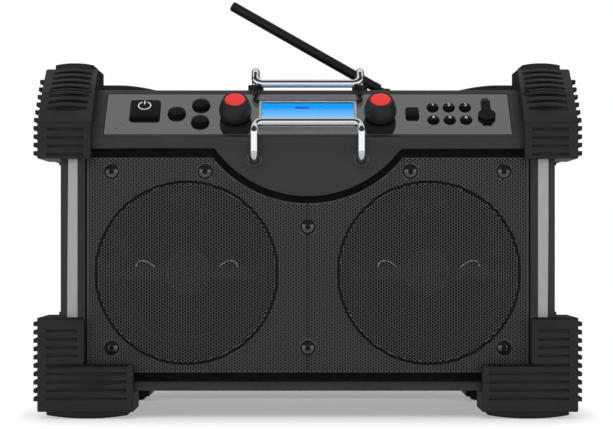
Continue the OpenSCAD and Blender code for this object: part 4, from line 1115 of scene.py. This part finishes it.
# %% floor
FLOOR_SIZE = 12.0
LIT_FRONT = 0.38
LIT_BEHIND = 0.05
LIT_IN_GLOSS = 0.4
GAP = (0.09, 0.15)
SHADE_SIDE = 0.225
SHADE_FRONT = -0.070
SHADE_BACK = 0.30
SIDE_FADE = 0.065
FRONT_FADE = 0.135
BACK_FADE = 0.35


def pale_floor():
    """Real shadow near the radio, white further out by the distance from a rectangle round its feet; the glow
    behind it is turned down as painted shade.
    """
    half = FLOOR_SIZE / 2
    corners = [(-half, -half, 0), (half, -half, 0), (half, half, 0), (-half, half, 0)]
    floor = add_mesh("floor", corners, [(0, 1, 2, 3)], smooth=False)
    finish = Finish("pale floor", (0.90, 0.90, 0.90), 0.9, Specular_IOR_Level=0.1)
    aside = finish.along(0).size().ramp(SHADE_SIDE, SHADE_SIDE + SIDE_FADE)
    depth = finish.along(1)
    ahead = (0 - depth).ramp(-SHADE_FRONT, FRONT_FADE - SHADE_FRONT)
    behind = depth.ramp(SHADE_BACK, SHADE_BACK + BACK_FADE)
    far = (aside * aside + ahead * ahead + behind * behind).ramp(0, 1)
    camera_ray, glossy_ray = (finish.node("ShaderNodeLightPath", {}, {}, output=f"Is {word} Ray")
                              for word in ("Camera", "Glossy"))
    seen = camera_ray.highest(glossy_ray * LIT_IN_GLOSS)
    # painted shade: the glow drops from LIT_FRONT to LIT_BEHIND behind the radio, to darken the floor seen
    # under the cabinet
    least = LIT_FRONT - depth.ramp(*GAP) * (LIT_FRONT - LIT_BEHIND)
    fade = (far * (1 - least) + least) * seen
    white = finish.node("ShaderNodeEmission", {}, {"Color": (1, 1, 1), "Strength": 1.0})
    lit = Field(finish, finish.shader.outputs[0])
    mixed = finish.node("ShaderNodeMixShader", {}, {0: fade, 1: lit, 2: white})
    output = finish.tree.nodes["Material Output"]
    finish.tree.links.new(mixed.socket, output.inputs["Surface"])
    floor.data.materials.append(finish.material)


pale_floor()
print("floor lit from below by", LIT_BEHIND, "to", LIT_FRONT, "near the radio")

# %% [markdown]
# ## Light and background
#
# One large soft lamp stands high at the front and gives the shadow. The background is white where the
# camera or the lens sees it. A gloss sees a room: behind the radio it is dark below and white above,
# which is what the sloping panel mirrors, and in front a bright screen stands round it under a dark
# ceiling. The screen's edges draw the lines along the chromed bars. Everything else is lit by the
# background at a lower, plain level.

# %% lamps
FRONT_POWER = 19
FRONT_SIZE = (2.2, 1.4)
FRONT_PLACE = (-0.4, -1.7, 1.7)
FRONT_TARGET = (0, 0, 0.1)
WORLD_LEVEL = 0.55
DARK_ROOM = 0.06
SCREEN_LEVEL = 1.45
SCREEN_EDGE = (0.36, 0.50)
SCREEN_END = (0.0, 0.35)
BACK_WALL = (0.0, 0.06)
WALL_FOOT = (0.45, 0.65)


def soft_lamp(name, power, size_x, size_y, where, target):
    """A rectangular lamp that faces a target."""
    data = bpy.data.lights.new(name, "AREA")
    data.shape = "RECTANGLE"
    data.energy = power
    data.size = size_x
    data.size_y = size_y
    lamp = bpy.data.objects.new(name, data)
    lamp.visible_glossy = False
    lamp.location = where
    lamp.rotation_euler = (Vector(target) - Vector(where)).to_track_quat("-Z", "Y").to_euler()
    bpy.context.scene.collection.objects.link(lamp)


soft_lamp("front light", FRONT_POWER, *FRONT_SIZE, FRONT_PLACE, FRONT_TARGET)
print("lamps: 1")

# %% world


def studio_world():
    """White for camera and transmitted rays, the room for glossy ones and WORLD_LEVEL for the others."""
    world = bpy.data.worlds.new("studio")
    world.use_nodes = True
    bpy.context.scene.world = world
    studio = Nodes(world.node_tree)
    background = studio.tree.nodes["Background"]
    background.inputs["Color"].default_value = (1, 1, 1, 1)
    direction = studio.node("ShaderNodeTexCoord", {}, {}, output="Generated")
    depth, height = (studio.node("ShaderNodeSeparateXYZ", {}, {"Vector": direction}, output=axis)
                     for axis in ("Y", "Z"))
    screen = (1 - height.ramp(*SCREEN_EDGE)) * (1 - depth.ramp(*SCREEN_END)) * SCREEN_LEVEL
    wall = depth.ramp(*BACK_WALL) * height.ramp(*WALL_FOOT)
    room = screen.highest(wall).highest(DARK_ROOM)
    camera_ray, glossy_ray, lens_ray = (
        studio.node("ShaderNodeLightPath", {}, {}, output=f"Is {word} Ray")
        for word in ("Camera", "Glossy", "Transmission")
    )
    others = (1 - glossy_ray) * WORLD_LEVEL
    level = (glossy_ray * room).highest(others).highest(camera_ray).highest(lens_ray)
    studio.tree.links.new(level.socket, background.inputs["Strength"])


studio_world()
bpy.context.scene.view_settings.view_transform = "Standard"
print("world: a room for gloss,", WORLD_LEVEL, "for the rest")
